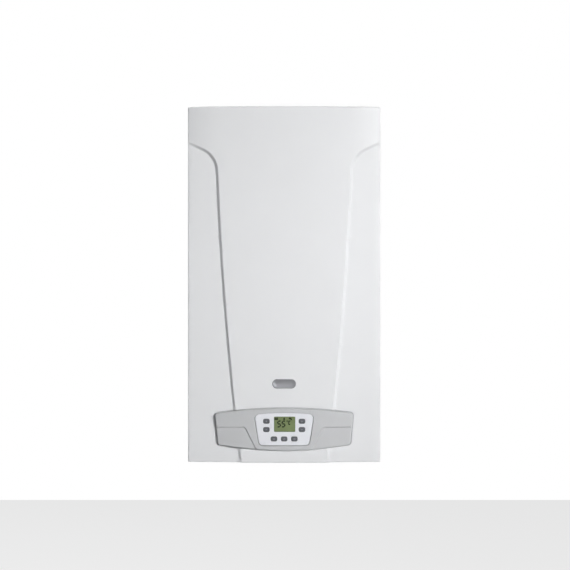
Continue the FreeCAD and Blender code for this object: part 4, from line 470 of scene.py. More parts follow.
def relief(name, border, depth, edge, back, holes=(), loose=(), lines=(), foot=None, hole_edge=None,
           cap=True):
    """A mesh with a formed front: its depth is depth(points), rounded at the border and at the holes.

    back gives the depth at which the border's and each hole's wall ends, as a number or a function of
    the wall's points. foot is the border's outline there. Without cap the back stays open.
    """
    hole_edge = edge if hole_edge is None else hole_edge
    turns = [math.pi / 2 * k / EDGE_STEPS for k in range(1, EDGE_STEPS + 1)]
    loops = [border, *holes]
    rings = [offset(border, edge * (1 - math.cos(turn))) for turn in turns]
    rings += [offset(hole, -hole_edge * (1 - math.cos(turn))) for hole in holes for turn in turns]
    flat, faces, where = triangles([*loops, *rings, *lines], loose)
    keep = within(centres_of(flat, faces), border, holes)
    faces = [list(face) for face, kept in zip(faces, keep) if kept]
    fall = round_drop(distance_to(flat, border), edge)
    for hole in holes:
        fall = np.maximum(fall, round_drop(distance_to(flat, hole), hole_edge))
    vertices = [(x, -d, z) for (x, z), d in zip(flat, depth(flat) - fall)]
    first = 0
    ends = []
    for number, loop in enumerate(loops):
        count = len(loop)
        top = [where[first + k] for k in range(count)]
        first += count
        end = foot if foot is not None and number == 0 else loop
        deep = value_at(back, np.array(end))
        low = len(vertices)
        vertices += [(x, -d, z) for (x, z), d in zip(end, deep)]
        ends.append([tuple(point) for point in end])
        for k in range(count):
            after = (k + 1) % count
            quad = [top[k], low + k, low + after, top[after]]
            faces.append(quad if number == 0 else quad[::-1])
    if cap:
        first = len(vertices)
        base, base_faces, _ = triangles(ends, [])
        keep = within(centres_of(base, base_faces), ends[0], ends[1:])
        vertices += [(x, -d, z) for (x, z), d in zip(base, value_at(back, base))]
        faces += [
            [first + corner for corner in face[::-1]] for face, kept in zip(base_faces, keep) if kept]
    return mesh_object(name, vertices, faces)


def mesh_object(name, vertices, faces, sharp_angle=SHARP_ANGLE):
    """A named object from vertices in millimetres. It is flat shaded if the angle is 0."""
    mesh = bpy.data.meshes.new(name)
    mesh.from_pydata([tuple(MM * float(amount) for amount in vertex) for vertex in vertices], [], faces)
    form = bmesh.new()
    form.from_mesh(mesh)
    bmesh.ops.remove_doubles(form, verts=form.verts, dist=WELD_GAP * MM)
    loose = [vertex for vertex in form.verts if not vertex.link_faces]
    bmesh.ops.delete(form, geom=loose, context="VERTS")
    form.to_mesh(mesh)
    form.free()
    piece = bpy.data.objects.new(name, mesh)
    scene.collection.objects.link(piece)
    if sharp_angle:
        mesh.shade_smooth()
        mesh.set_sharp_from_angle(angle=math.radians(sharp_angle))
    return piece


def thicken(piece, thickness):
    """Turns an open skin into a closed shell that grows behind it."""
    shell = piece.modifiers.new("shell", "SOLIDIFY")
    shell.thickness = thickness * MM
    shell.offset = -1
    shell.use_even_offset = True
    settle(piece)


def settle(piece):
    """Applies a piece's modifiers to its mesh."""
    graph = bpy.context.evaluated_depsgraph_get()
    mesh = bpy.data.meshes.new_from_object(piece.evaluated_get(graph))
    piece.modifiers.clear()
    piece.data = mesh


def join(piece, *others):
    """Adds the other objects' meshes to the piece."""
    form = bmesh.new()
    form.from_mesh(piece.data)
    for other in others:
        form.from_mesh(other.data)
        bpy.data.objects.remove(other)
    form.to_mesh(piece.data)
    form.free()


def stand_for(piece, node):
    """The piece takes a CAD node's place, on that node's body."""
    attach(piece, frame["nodes"][node]["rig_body"])
    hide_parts(node)


# Materials
def new_material(name):
    """A material with nodes, its node tree and its shader."""
    material = bpy.data.materials.new(name)
    material.use_nodes = True
    return material, material.node_tree, material.node_tree.nodes["Principled BSDF"]


def coordinates(tree):
    """The object's own coordinates."""
    return tree.nodes.new("ShaderNodeTexCoord").outputs["Object"]


def noise(tree, scale, detail=3, roughness=0.5, vector=None):
    """A noise in the object's own coordinates, or in others."""
    node = tree.nodes.new("ShaderNodeTexNoise")
    node.inputs["Scale"].default_value = scale
    node.inputs["Detail"].default_value = detail
    node.inputs["Roughness"].default_value = roughness
    tree.links.new(vector or coordinates(tree), node.inputs["Vector"])
    return node.outputs["Fac"]


def ramp(tree, factor, low, high, span_share=(0.35, 0.65)):
    """Colours between low and high as the factor goes through a span."""
    node = tree.nodes.new("ShaderNodeValToRGB")
    node.color_ramp.elements[0].position = span_share[0]
    node.color_ramp.elements[1].position = span_share[1]
    node.color_ramp.elements[0].color = (*low, 1)
    node.color_ramp.elements[1].color = (*high, 1)
    tree.links.new(factor, node.inputs["Fac"])
    return node.outputs["Color"]


def spread(tree, factor, low, high):
    """A number between low and high as the factor goes through a noise's usual span."""
    node = tree.nodes.new("ShaderNodeMapRange")
    node.inputs["From Min"].default_value = NOISE_LOW
    node.inputs["From Max"].default_value = NOISE_HIGH
    node.inputs["To Min"].default_value = low
    node.inputs["To Max"].default_value = high
    tree.links.new(factor, node.inputs["Value"])
    return node.outputs["Result"]


def bump(tree, shader, height, strength, distance):
    """Makes the shader's surface uneven by the height, over a distance in metres."""
    node = tree.nodes.new("ShaderNodeBump")
    node.inputs["Strength"].default_value = strength
    node.inputs["Distance"].default_value = distance
    tree.links.new(height, node.inputs["Height"])
    tree.links.new(node.outputs["Normal"], shader.inputs["Normal"])


def shade(colour, factor):
    """The colour made lighter or darker by a factor."""
    return tuple(min(1, channel * factor) for channel in colour)


def finish_of(name, colour, rough, metallic=0, tint=0.05, grain=40, fine=900, relief_mm=0.02, coat=0,
              stretch=None, gloss=0.5):
    """A material with mottled colour, uneven gloss and a fine surface.

    grain and fine are the scales of its broad and its small noise, and stretch scales them by axis.
    """
    material, tree, shader = new_material(name)
    vector = coordinates(tree)
    if stretch:
        mapping = tree.nodes.new("ShaderNodeMapping")
        mapping.inputs["Scale"].default_value = stretch
        tree.links.new(vector, mapping.inputs["Vector"])
        vector = mapping.outputs["Vector"]
    broad = noise(tree, grain, detail=4, roughness=MOTTLE_ROUGHNESS, vector=vector)
    small = noise(tree, fine, detail=2, vector=vector)
    mottle = ramp(tree, broad, shade(colour, 1 - tint), shade(colour, 1 + tint))
    tree.links.new(mottle, shader.inputs["Base Color"])
    low, high = [rough * share for share in ROUGH_SHARES]
    tree.links.new(spread(tree, broad, low, high), shader.inputs["Roughness"])
    bump(tree, shader, small, BUMP_STRENGTH, relief_mm * MM)
    shader.inputs["Metallic"].default_value = metallic
    shader.inputs["Specular IOR Level"].default_value = gloss
    if coat:
        shader.inputs["Coat Weight"].default_value = coat
        shader.inputs["Coat Roughness"].default_value = COAT_ROUGHNESS
    return material


def spangled(name, colour):
    """Galvanised sheet, with the crystals of its zinc."""
    material, tree, shader = new_material(name)
    crystals = tree.nodes.new("ShaderNodeTexVoronoi")
    crystals.inputs["Scale"].default_value = SPANGLE_SCALE
    tree.links.new(coordinates(tree), crystals.inputs["Vector"])
    grey = tree.nodes.new("ShaderNodeSeparateColor")
    tree.links.new(crystals.outputs["Color"], grey.inputs["Color"])
    tone = grey.outputs["Red"]
    dark, light = [shade(colour, share) for share in SPANGLE_TONE_SHARES]
    tree.links.new(ramp(tree, tone, dark, light, (0, 1)), shader.inputs["Base Color"])
    tree.links.new(spread(tree, tone, *SPANGLE_ROUGH), shader.inputs["Roughness"])
    bump(tree, shader, noise(tree, SPANGLE_FINE), SPANGLE_BUMP, SPANGLE_RELIEF * MM)
    shader.inputs["Metallic"].default_value = SPANGLE_METALLIC
    return material


MATERIALS = {
    "casing_paint": finish_of("white_paint", (0.804, 0.81, 0.823), 0.46, tint=0.006, grain=14, fine=1400,
                              relief_mm=0.012, gloss=0.32),
    "badge_metal": finish_of("badge_metal", (0.224, 0.227, 0.239), 0.56, metallic=0.9, tint=0.05, grain=60,
                             stretch=(1, 1, 14)),
    "zinc_sheet": spangled("galvanised", (0.62, 0.64, 0.66)),
    "zinc_screw": finish_of("zinc_screw", (0.66, 0.67, 0.68), 0.3, metallic=0.95, grain=300),
    "black_plastic": finish_of("black_plastic", (0.022, 0.022, 0.025), 0.5, tint=0.15, fine=2500),
    "grey_rubber": finish_of("grey_rubber", (0.12, 0.125, 0.13), 0.75, tint=0.1),
    "hearth_steel": finish_of("hearth_steel", (0.46, 0.43, 0.40), 0.42, metallic=0.9, tint=0.16, grain=18),
    "ceramic_board": finish_of("ceramic_board", (0.70, 0.67, 0.60), 0.9, tint=0.06, fine=700, relief_mm=0.2,
                               stretch=(1, 1, 5)),
    "copper": finish_of("copper", (0.72, 0.36, 0.23), 0.32, metallic=0.95, tint=0.14, grain=26),
    "burner_steel": finish_of("burner_steel", (0.52, 0.51, 0.49), 0.36, metallic=0.9, tint=0.1),
    "gas_alloy": finish_of("gas_alloy", (0.52, 0.53, 0.54), 0.48, metallic=0.85, tint=0.06, relief_mm=0.06),
    "electrode_ceramic": finish_of("electrode_ceramic", (0.80, 0.78, 0.72), 0.25, tint=0.02),
    "hood_alloy": finish_of("hood_alloy", (0.60, 0.61, 0.62), 0.4, metallic=0.9, tint=0.07, grain=20),
    "motor_black": finish_of("motor_black", (0.03, 0.03, 0.034), 0.4, tint=0.12, relief_mm=0.04),
    "collar_alloy": finish_of("collar_alloy", (0.62, 0.63, 0.64), 0.42, metallic=0.85, tint=0.05,
                              relief_mm=0.05),
    "switch_plastic": finish_of("switch_plastic", (0.70, 0.70, 0.66), 0.45, tint=0.03),
    "silicone_tube": finish_of("silicone_tube", (0.55, 0.16, 0.10), 0.5, tint=0.06),
    "vessel_paint": finish_of("vessel_paint", (0.42, 0.02, 0.018), 0.3, tint=0.06, coat=0.3),
    "brass": finish_of("brass", (0.68, 0.50, 0.22), 0.34, metallic=0.95, tint=0.1, grain=30,
                       relief_mm=0.04),
    "steel_plates": finish_of("steel_plates", (0.58, 0.58, 0.57), 0.3, metallic=0.95, tint=0.07),
    "red_plastic": finish_of("red_plastic", (0.50, 0.02, 0.015), 0.35, tint=0.06),
    "blue_plastic": finish_of("blue_plastic", (0.02, 0.08, 0.36), 0.35, tint=0.06),
    "pump_iron": finish_of("pump_iron", (0.05, 0.052, 0.055), 0.6, metallic=0.2, tint=0.18, fine=500,
                           relief_mm=0.12),
    "gas_pipe_metal": finish_of("gas_pipe_metal", (0.60, 0.57, 0.47), 0.36, metallic=0.9, tint=0.08),
    "grey_plastic": finish_of("grey_plastic", (0.13, 0.135, 0.145), 0.55, tint=0.05, fine=2200),
    "board_green": finish_of("board_green", (0.02, 0.14, 0.06), 0.4, tint=0.2, grain=220),
    "facia_plastic": finish_of("facia_plastic", (0.557, 0.563, 0.575), 0.42, tint=0.012, fine=2600,
                               relief_mm=0.012),
    "bezel_plastic": finish_of("bezel_plastic", (0.82, 0.831, 0.87), 0.3, tint=0.006, fine=2200,
                               relief_mm=0.008, coat=0.2),
    "lcd_glass": finish_of("lcd_glass", (0.176, 0.228, 0.091), 0.16, tint=0.07, grain=45, relief_mm=0.002),
    "button_plastic": finish_of("button_plastic", (0.094, 0.097, 0.108), 0.5, tint=0.05, fine=2600),
}


def glass():
    """Clear glass with a slightly uneven gloss."""
    material, tree, shader = new_material("sight_glass")
    shader.inputs["Base Color"].default_value = GLASS_COLOUR
    shader.inputs["Transmission Weight"].default_value = GLASS_CLEAR_SHARE
    tree.links.new(spread(tree, noise(tree, GLASS_NOISE), *GLASS_ROUGH), shader.inputs["Roughness"])
    return material


MATERIALS["clear_glass"] = glass()
ink = finish_of("lcd_ink", (0.012, 0.018, 0.006), 0.4, tint=0.1, gloss=0.1)
icon_ink = finish_of("icon_ink", (0.27, 0.28, 0.305), 0.5, tint=0.04)


def dress(piece, slot, material=None):
    """Gives the piece the slot's material, or another material."""
    piece.data.materials.clear()
    piece.data.materials.append(material or MATERIALS[slot])


# Carried-over CAD nodes
slot_of = {part["node"]: part["material_slot"] for part in frame["record"]["subparts"]}
for node, thing in frame["nodes"].items():
    thing.data.materials.clear()
    thing.data.materials.append(MATERIALS[slot_of[node]])
    thing.data.shade_smooth()
    thing.data.set_sharp_from_angle(angle=math.radians(SHARP_ANGLE))


# Front cover
def step_line():
    """The right half of the line along which the cover's raised middle begins, from its top end down."""
    shoulder = TOP - EDGE_DROP
    bend = (SIDE - BEND_REACH, shoulder - BEND_DROP)
    neck = (NECK_HALF, TOP - NECK_DROP)
    foot = (FOOT_HALF, BOTTOM)
    overrun = (SIDE + BEND_REACH, shoulder + BEND_DROP)
    line = straight(overrun, bend, STEP_PITCH)
    line += arc(bend, neck, BEND_RADIUS, BEND_STEPS)
    line += arc(neck, foot, -SIDE_RADIUS, SIDE_STEPS)
    slope = (neck[0] - foot[0]) / (neck[1] - foot[1])
    return line + [foot, (foot[0] - slope * BEND_DROP, foot[1] - BEND_DROP)]


STEP = np.array(step_line())


def side_of(points, line):
    """Each point's signed distance to a line and its mirror image: positive towards the middle."""
    mirror = np.column_stack([np.abs(points[:, 0]), points[:, 1]])
    best = np.full(len(mirror), np.inf)
    sign = np.zeros(len(mirror))
    for start, end in zip(line[:-1], line[1:]):
        along = end - start
        share = np.clip(((mirror - start) @ along) / (along @ along), 0, 1)
        gap = mirror - start - share[:, None] * along
        far = np.linalg.norm(gap, axis=1)
        turn = along[0] * gap[:, 1] - along[1] * gap[:, 0]
        nearer = far < best - TIE_GAP
        best = np.where(nearer, far, best)
        sign = np.where(nearer, -np.sign(turn), sign)
    return best * sign


def smooth(share):
    """A share that leaves 0 and reaches 1 gently."""
    share = np.clip(share, 0, 1)
    return share * share * (3 - 2 * share)


def cover_depth(points):
    """The cover's front face, whose raised middle curves back more towards the sides."""
    rise = smooth(side_of(points, STEP) / EMBOSS_SLOPE + 0.5)
    beyond = np.maximum(np.abs(points[:, 0]) - SIDE + SHOULDER_REACH, 0) / SHOULDER_REACH
    height = (EMBOSS - SHOULDER_FALL * beyond * beyond) * rise
    return RAISED_CROWN - EMBOSS + height - bow(points[:, 0], BOW_RADIUS)


def face_points(border, hole, line, band, pitch, grid, clear):
    """Loose points of a formed face: bands along a line and its mirror image, and a coarser grid.

    clear is how far they stay from the border and from the hole.
    """
    ahead = np.gradient(line, axis=0)
    ahead /= np.linalg.norm(ahead, axis=1)[:, None]
    normal = np.column_stack([-ahead[:, 1], ahead[:, 0]])
    points = []
    for shift in np.arange(-band, band + pitch / 2, pitch):
        beside = line + normal * shift
        points += [beside, beside * (-1, 1)]
    (low_x, low_z), (high_x, high_z) = np.min(border, axis=0), np.max(border, axis=0)
    xs = np.arange(low_x, high_x, grid[0]) + grid[0] / 2
    zs = np.arange(low_z, high_z, grid[1]) + grid[1] / 2
    plain = np.array([(x, z) for z in zs for x in xs])
    points.append(plain[np.abs(side_of(plain, line)) > band + BAND_CLEAR])
    points = np.vstack(points)
    points = points[within(points, border, [hole])]
    kept = (distance_to(points, border) > clear[0]) & (distance_to(points, hole) > clear[1])
    return [tuple(point) for point in points[kept]]


def cover_wall(points):
    """Where the cover's walls end: at the return's back edge, but short along the bottom lip."""
    x, z = points[:, 0], points[:, 1]
    low = z < BOTTOM + LIP_MARGIN
    hole = (np.abs(x) < SIDE - WALL_MARGIN) & (z > BOTTOM + WALL_MARGIN) & (z < TOP - WALL_MARGIN)
    near = cover_depth(points) - COVER_EDGE - LIP_DEPTH
    return np.where(low | hole, near, RETURN_BACK)


def cover_fold():
    """The plate inside the cover's lower edge, with its two screw slots open to the back."""
    level = BOTTOM + FOLD_RISE
    half = SIDE - GAUGE
    xs = np.linspace(-half, half, FOLD_POINTS)
    front = cover_depth(np.column_stack([xs, np.full(len(xs), level)])) - GAUGE
    corner = COVER_EDGE * smooth((half - np.abs(xs)) / COVER_EDGE) - COVER_EDGE
    loop = [(x, depth) for x, depth in zip(xs[::-1], (front + corner)[::-1])]
    for centre in (-(SIDE - SCREW_INSET), SIDE - SCREW_INSET):
        loop.append((centre - SLOT_HALF, RETURN_BACK))
        for turn in np.linspace(math.pi, 0, SLOT_POINTS):
            loop.append((centre + SLOT_HALF * math.cos(turn),
                         RETURN_BACK + SCREW_BACK + SLOT_HALF * math.sin(turn)))
        loop.append((centre + SLOT_HALF, RETURN_BACK))
    flat, faces, _ = triangles([loop], [])
    faces = [face for face, kept in zip(faces, inside(centres_of(flat, faces), loop)) if kept]
    count = len(flat)
    vertices = [(x, -depth, z) for z in (level, level + GAUGE) for x, depth in flat]
    sides = [(k, (k + 1) % count, (k + 1) % count + count, k + count) for k in range(count)]
    top = [tuple(corner + count for corner in face) for face in faces]
    return mesh_object("cover_fold", vertices, [face[::-1] for face in faces] + top + sides)


def front_cover():
    """The cover's sheet, with the facia's opening and the fold at its foot."""
    border = rounded(-SIDE, SIDE, BOTTOM, TOP, COVER_CORNER, pitch=COVER_BORDER_PITCH)
    hole = facia_outline(APERTURE_GAP)
    clear = (COVER_EDGE + COVER_CLEAR, GAUGE + COVER_CLEAR)
    skin = relief(
        "cover_shell", border, cover_depth, COVER_EDGE, cover_wall, holes=[hole],
        loose=face_points(border, hole, STEP, COVER_BAND, COVER_PITCH, COVER_GRID, clear),
        hole_edge=GAUGE, cap=False)
    thicken(skin, GAUGE)
    join(skin, cover_fold())
    stand_for(skin, "front_cover")
    dress(skin, "casing_paint")


front_cover()


# Facia
def facia_line():
    """The right half of the edge between the facia's middle and its two sunk corners."""
    start = (FACIA_HALF + BEND_REACH, FACIA_MIDDLE + STEP_RISE)
    corner = (STEP_HALF + STEP_BEND, FACIA_MIDDLE + STEP_RISE)
    foot = np.array([STEP_FOOT, FACIA_MIDDLE - FACIA_MID])
    fall = np.array([STEP_HALF, FACIA_MIDDLE + STEP_RISE]) - foot
    bend = foot + fall * (1 - STEP_BEND / np.linalg.norm(fall))
    line = straight(start, corner, FACIA_LINE_PITCH)
    line += arc(corner, bend, STEP_BEND_RADIUS, STEP_BEND_STEPS)
    line += straight(bend, foot, FACIA_LINE_PITCH)
    return np.array(line + [tuple(foot), tuple(foot - fall / FACIA_OVERRUN_PARTS)])


FACIA_LINE = facia_line()
FACIA_RADIUS = BOW_RADIUS + FACIA_CROWN - RAISED_CROWN + EMBOSS


def facia_depth(points):
    """The facia's front, which is bowed like the cover and falls back a little more at its ends."""
    beyond = np.maximum(np.abs(points[:, 0]) - FACIA_FLAT, 0) / (FACIA_HALF - FACIA_FLAT)
    sink = FACIA_STEP * (1 - smooth(side_of(points, FACIA_LINE) / STEP_SLOPE + 0.5))
    return FACIA_CROWN - bow(points[:, 0], FACIA_RADIUS) - FACIA_END_FALL * beyond * beyond - sink


def flange_depth(points):
    """The front of the rim round the facia, just behind the cover's sheet."""
    return cover_depth(points) - GAUGE - FLANGE_GAP


def facia_flange():
    """The rim round the facia that lies just behind the cover and closes the gap."""
    return relief(
        "facia_flange", facia_outline(FLANGE_GROW), flange_depth, FLANGE_EDGE,
        lambda points: flange_depth(points) - FLANGE_THICK, holes=[facia_outline(FLANGE_BORE)])


def facia():
    """The facia's moulded shell with its rim, and the hole that the bezel fills."""
    border = facia_outline(FACIA_FRONT_GROW)
    hole = bezel_outline(GROOVE, GROOVE_TOP)
    clear = (FACIA_EDGE + FACIA_CLEAR, HOLE_EDGE + FACIA_CLEAR)
    shell = relief(
        "facia_shell", border, facia_depth, FACIA_EDGE, FACIA_BACK, holes=[hole],
        loose=face_points(border, hole, FACIA_LINE, FACIA_BAND, FACIA_PITCH, FACIA_GRID, clear),
        foot=facia_outline(FACIA_DRAFT), hole_edge=HOLE_EDGE, cap=False)
    thicken(shell, FACIA_WALL)
    join(shell, facia_flange())
    stand_for(shell, "control_facia")
    dress(shell, "facia_plastic")


facia()


# Display bezel
def bezel_depth(points):
    """The bezel's front, which is bowed like the facia and set back a little."""
    return FACIA_CROWN - BEZEL_INSET - bow(points[:, 0], FACIA_RADIUS)


def button_loop(node, grow):
    """The button's cap in its hole, without the flange behind the bezel."""
    low, high = span(node)
    grow -= BUTTON_FLANGE
    corner = BUTTON_CORNER + BUTTON_FLANGE + grow
    return rounded(
        low[0] - grow, high[0] + grow, low[2] - grow, high[2] + grow, corner, BUTTON_PITCH, BUTTON_STEPS)


BUTTONS = [
    "heating_up_button", "heating_down_button", "water_up_button", "water_down_button",
    "reset_button", "mode_button", "power_button",
]


def grid_points(border, holes, pitch, clear):
    """Loose points on a grid that stay clear of the border and of each hole."""
    (low_x, low_z), (high_x, high_z) = np.min(border, axis=0), np.max(border, axis=0)
    xs = np.arange(low_x, high_x, pitch) + pitch / 2
    zs = np.arange(low_z, high_z, pitch) + pitch / 2
    plain = np.array([(x, z) for z in zs for x in xs])
    kept = within(plain, border, holes)
    for loop in (border, *holes):
        kept &= distance_to(plain, loop) > clear
    return [tuple(point) for point in plain[kept]]


def screen_loop(grow):
    """The screen's visible glass, a little narrower than its module."""
    low, high = span("lcd_screen")
    left = low[0] + LCD_LEFT_INSET - grow
    top = high[2] - LCD_TOP_INSET + grow
    return rounded(
        left, high[0] + grow, low[2] - grow, top, SCREEN_CORNER + grow, SCREEN_PITCH, SCREEN_STEPS)


def bezel():
    """The pale plate round the screen and the buttons."""
    border = bezel_outline(0, 0)
    window = screen_loop(BEZEL_GAP)
    holes = [window] + [button_loop(node, BUTTON_GAP) for node in BUTTONS]
    plate = relief(
        "bezel_plate", border, bezel_depth, BEZEL_EDGE, lambda points: bezel_depth(points) - BEZEL_PLATE,
        holes=holes, loose=grid_points(border, holes, BEZEL_GRID, BEZEL_CLEAR), hole_edge=BEZEL_HOLE_EDGE)
    stand_for(plate, "display_bezel")
    dress(plate, "bezel_plastic")


bezel()


class Form:
    """Collects strips and plates that lie on a face. front and back give their depths at (x, z)."""

    def __init__(self, front, back):
        self.front = front
        self.back = back
        self.vertices = []
        self.faces = []

    def plate(self, loop):
        """A plate with the loop as its outline."""
        first = len(self.vertices)
        count = len(loop)
        for x, z in loop:
            self.vertices.append((x, -self.front(x, z), z))
        for x, z in loop:
            self.vertices.append((x, -self.back(x, z), z))
        self.faces.append(list(range(first, first + count)))
        self.faces.append(list(range(first + 2 * count - 1, first + count - 1, -1)))
        for k in range(count):
            after = (k + 1) % count
            self.faces.append([first + k, first + count + k, first + count + after, first + after])

    def strip(self, points, width):
        """A strip of the width along the points, with mitred corners. It is a ring if the points close."""
        points = np.array(points, float)
        closed = np.allclose(points[0], points[-1])
        ahead = np.diff(points, axis=0)
        ahead /= np.linalg.norm(ahead, axis=1)[:, None]
        normal = np.column_stack([-ahead[:, 1], ahead[:, 0]])
        before = np.vstack([normal[-1:] if closed else normal[:1], normal])
        after = np.vstack([normal, normal[:1] if closed else normal[-1:]])
        mitre = before + after
        mitre /= np.maximum(np.sum(mitre * mitre, axis=1) / 2, STRIP_MITRE_FLOOR)[:, None]
        left, right = points + mitre * width / 2, points - mitre * width / 2
        corners = ((right, self.front), (left, self.front), (left, self.back), (right, self.back))
        first = len(self.vertices)
        count = len(points) - 1 if closed else len(points)
        for k in range(count):
            for side, depth in corners:
                x, z = side[k]
                self.vertices.append((x, -depth(x, z), z))
        for k in range(len(points) - 1):
            here = [first + 4 * k + corner for corner in range(4)]
            there = [first + 4 * ((k + 1) % count) + corner for corner in range(4)]
            for corner in range(4):
                previous = (corner - 1) % 4
                self.faces.append([here[corner], here[previous], there[previous], there[corner]])
        if not closed:
            self.faces.append([first, first + 1, first + 2, first + 3])
            self.faces.append([first + 4 * (count - 1) + corner for corner in (3, 2, 1, 0)])

    def ring(self, x, z, radius, width, steps, angles=(0, 2 * math.pi)):
        """A round strip, from one angle to the other."""
        turns = np.linspace(*angles, steps + 1)
        self.strip([(x + radius * math.cos(turn), z + radius * math.sin(turn)) for turn in turns], width)

    def make(self, name):
        """An object from all that was collected."""
        return mesh_object(name, self.vertices, self.faces, sharp_angle=0)


# Liquid crystal screen
def moved(points, x, z, lean=0):
    """The points moved to their place, and leaned to the right by a slope."""
    return [(x + px + pz * lean, z + pz) for px, pz in points]


def bar(start, end, width):
    """A bar with pointed ends, as a digit's segment has."""
    start, end = np.array(start, float), np.array(end, float)
    along = (end - start) / np.linalg.norm(end - start)
    across = np.array([-along[1], along[0]])
    tip = width / 2
    return [tuple(point) for point in (
        start, start + along * tip - across * tip, end - along * tip - across * tip,
        end, end - along * tip + across * tip, start + along * tip + across * tip)]


def five_segments():
    """The ends of the segments of a figure 5, about its middle."""
    w, h = DIGIT_HALF_WIDTH, DIGIT_HALF_HEIGHT
    return [
        ((-w, h), (w, h)),
        ((-w, 0), (-w, h)),
        ((-w, 0), (w, 0)),
        ((w, -h), (w, 0)),
        ((-w, -h), (w, -h)),
    ]


def draw_temperature(picture, middle_z):
    """Draws two figures, a degree ring and the unit."""
    for centre in DIGITS_X:
        for start, end in five_segments():
            gap = np.array(end) - start
            inset = gap / np.linalg.norm(gap) * DIGIT_GAP
            loop = bar(np.array(start) + inset, np.array(end) - inset, DIGIT_STROKE)
            picture.plate(moved(loop, centre, middle_z + DIGITS_Z, DIGIT_LEAN))
    top = middle_z + DIGITS_Z + DIGIT_HALF_HEIGHT
    picture.ring(DEGREE_X, top - DEGREE_DROP, DEGREE_RADIUS, DEGREE_STROKE, DEGREE_STEPS)
    picture.strip(moved(UNIT_LINE, DEGREE_X + UNIT_SHIFT, top), UNIT_STROKE)


def draw_icons(picture, row):
    """Draws a radiator, a flame and a tap."""
    for k in range(RIBS):
        rib = ICONS_X[0] - RIB_START + RIB_PITCH * k
        picture.strip([(rib, row - RIB_HALF), (rib, row + RIB_HALF)], RIB_STROKE)
        if k:
            for lift in (-LINK_LIFT, LINK_LIFT):
                picture.strip([(rib - end, row + lift) for end in LINK_ENDS], LINK_STROKE)
    picture.plate(moved(FLAME_LOOP, ICONS_X[1], row))
    picture.plate(moved(TAP_LOOP, ICONS_X[2], row))
    picture.strip(moved(TAP_HANDLE, ICONS_X[2], row), TAP_STROKE)


def screen():
    """The screen's glass, and on it the picture in dark ink."""
    low, high = span("lcd_screen")
    middle_z = (low[2] + high[2]) / 2
    front = -low[1]
    panel = relief(
        "lcd_panel", screen_loop(0), lambda points: value_at(front, points), SCREEN_EDGE, front - LCD_THICK)
    stand_for(panel, "lcd_screen")
    dress(panel, "lcd_glass")
    picture = Form(lambda x, z: front + INK_LIFT, lambda x, z: front - INK_SINK)
    draw_temperature(picture, middle_z)
    draw_icons(picture, middle_z + ICON_ROW)
    ink_piece = picture.make("lcd_picture")
    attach(ink_piece, "control_panel")
    dress(ink_piece, "lcd_glass", ink)


screen()


# Buttons
def icon_of(node, form, x, z):
    """Draws a button's symbol: plus and minus for the columns, and plain signs for the lower row."""
    if node.endswith(("up_button", "down_button")):
        form.strip([(x - SIGN_HALF, z), (x + SIGN_HALF, z)], PLUS_STROKE)
    if node.endswith("up_button"):
        form.strip([(x, z + PLUS_GAP), (x, z + SIGN_HALF)], PLUS_STROKE)
        form.strip([(x, z - SIGN_HALF), (x, z - PLUS_GAP)], PLUS_STROKE)
    if node == "reset_button":
        form.ring(x, z, RING_RADIUS, RING_STROKE, RESET_STEPS, RESET_ANGLES)
        form.plate(moved(RESET_TIP, x, z))
    if node == "mode_button":
        for lift in LIST_LIFTS:
            form.strip([(x - LIST_HALF, z + lift), (x + LIST_HALF, z + lift)], LIST_STROKE)
    if node == "power_button":
        form.ring(x, z - POWER_DROP, RING_RADIUS, RING_STROKE, POWER_STEPS, POWER_ANGLES)
        form.strip([(x, z + end) for end in POWER_BAR], RING_STROKE)


def button(node):
    """A crowned cap, and its sign just proud of it."""
    low, high = span(node)
    centre = (low + high) / 2
    half = (high - low) / 2 - BUTTON_FLANGE
    front = -low[1] - SYMBOL_LIFT
    back = -high[1]

    def depth(points):
        x = (points[:, 0] - centre[0]) / half[0]
        z = (points[:, 1] - centre[2]) / half[2]
        return front - BUTTON_CROWN * np.clip(x * x + z * z, 0, CROWN_REACH_SHARE) / CROWN_REACH_SHARE

    def height(x, z):
        return float(depth(np.array([[x, z]]))[0])

    loop = button_loop(node, 0)
    cap = relief(
        node.replace("button", "cap"), loop, depth, BUTTON_EDGE, back,
        loose=grid_points(loop, [], BUTTON_GRID, BUTTON_CLEAR))
    stand_for(cap, node)
    dress(cap, "button_plastic")
    symbol = Form(lambda x, z: height(x, z) + SYMBOL_LIFT, lambda x, z: height(x, z) - SYMBOL_LIFT)
    icon_of(node, symbol, centre[0], centre[2])
    print_piece = symbol.make(node.replace("button", "symbol"))
    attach(print_piece, frame["nodes"][node]["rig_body"])
    dress(print_piece, "button_plastic", icon_ink)


for node in BUTTONS:
    button(node)


# Badge
def badge():
    """A bare metal plate with a rim, on the cover's middle."""
    low, high = span("cover_badge")
    front = -low[1]
    back = -high[1]
    corner = (high[2] - low[2]) / 2 - BADGE_FLAT
    border = rounded(low[0], high[0], low[2], high[2], corner, BADGE_PITCH, BADGE_STEPS)

    def depth(points):
        inward = distance_to(points, border)
        rim = smooth((inward - RIM_WIDTH) / RIM_SLOPE)
        return front - RIM_DROP * rim

    rings = []
    for inward in (RIM_WIDTH - RIM_START, RIM_WIDTH, RIM_WIDTH + RIM_SLOPE / 2, RIM_WIDTH + RIM_SLOPE):
        rings.append([tuple(point) for point in offset(border, inward)])
    plate = relief("badge_plate", border, depth, BADGE_EDGE, back, lines=rings)
    stand_for(plate, "cover_badge")
    dress(plate, "badge_metal")


badge()

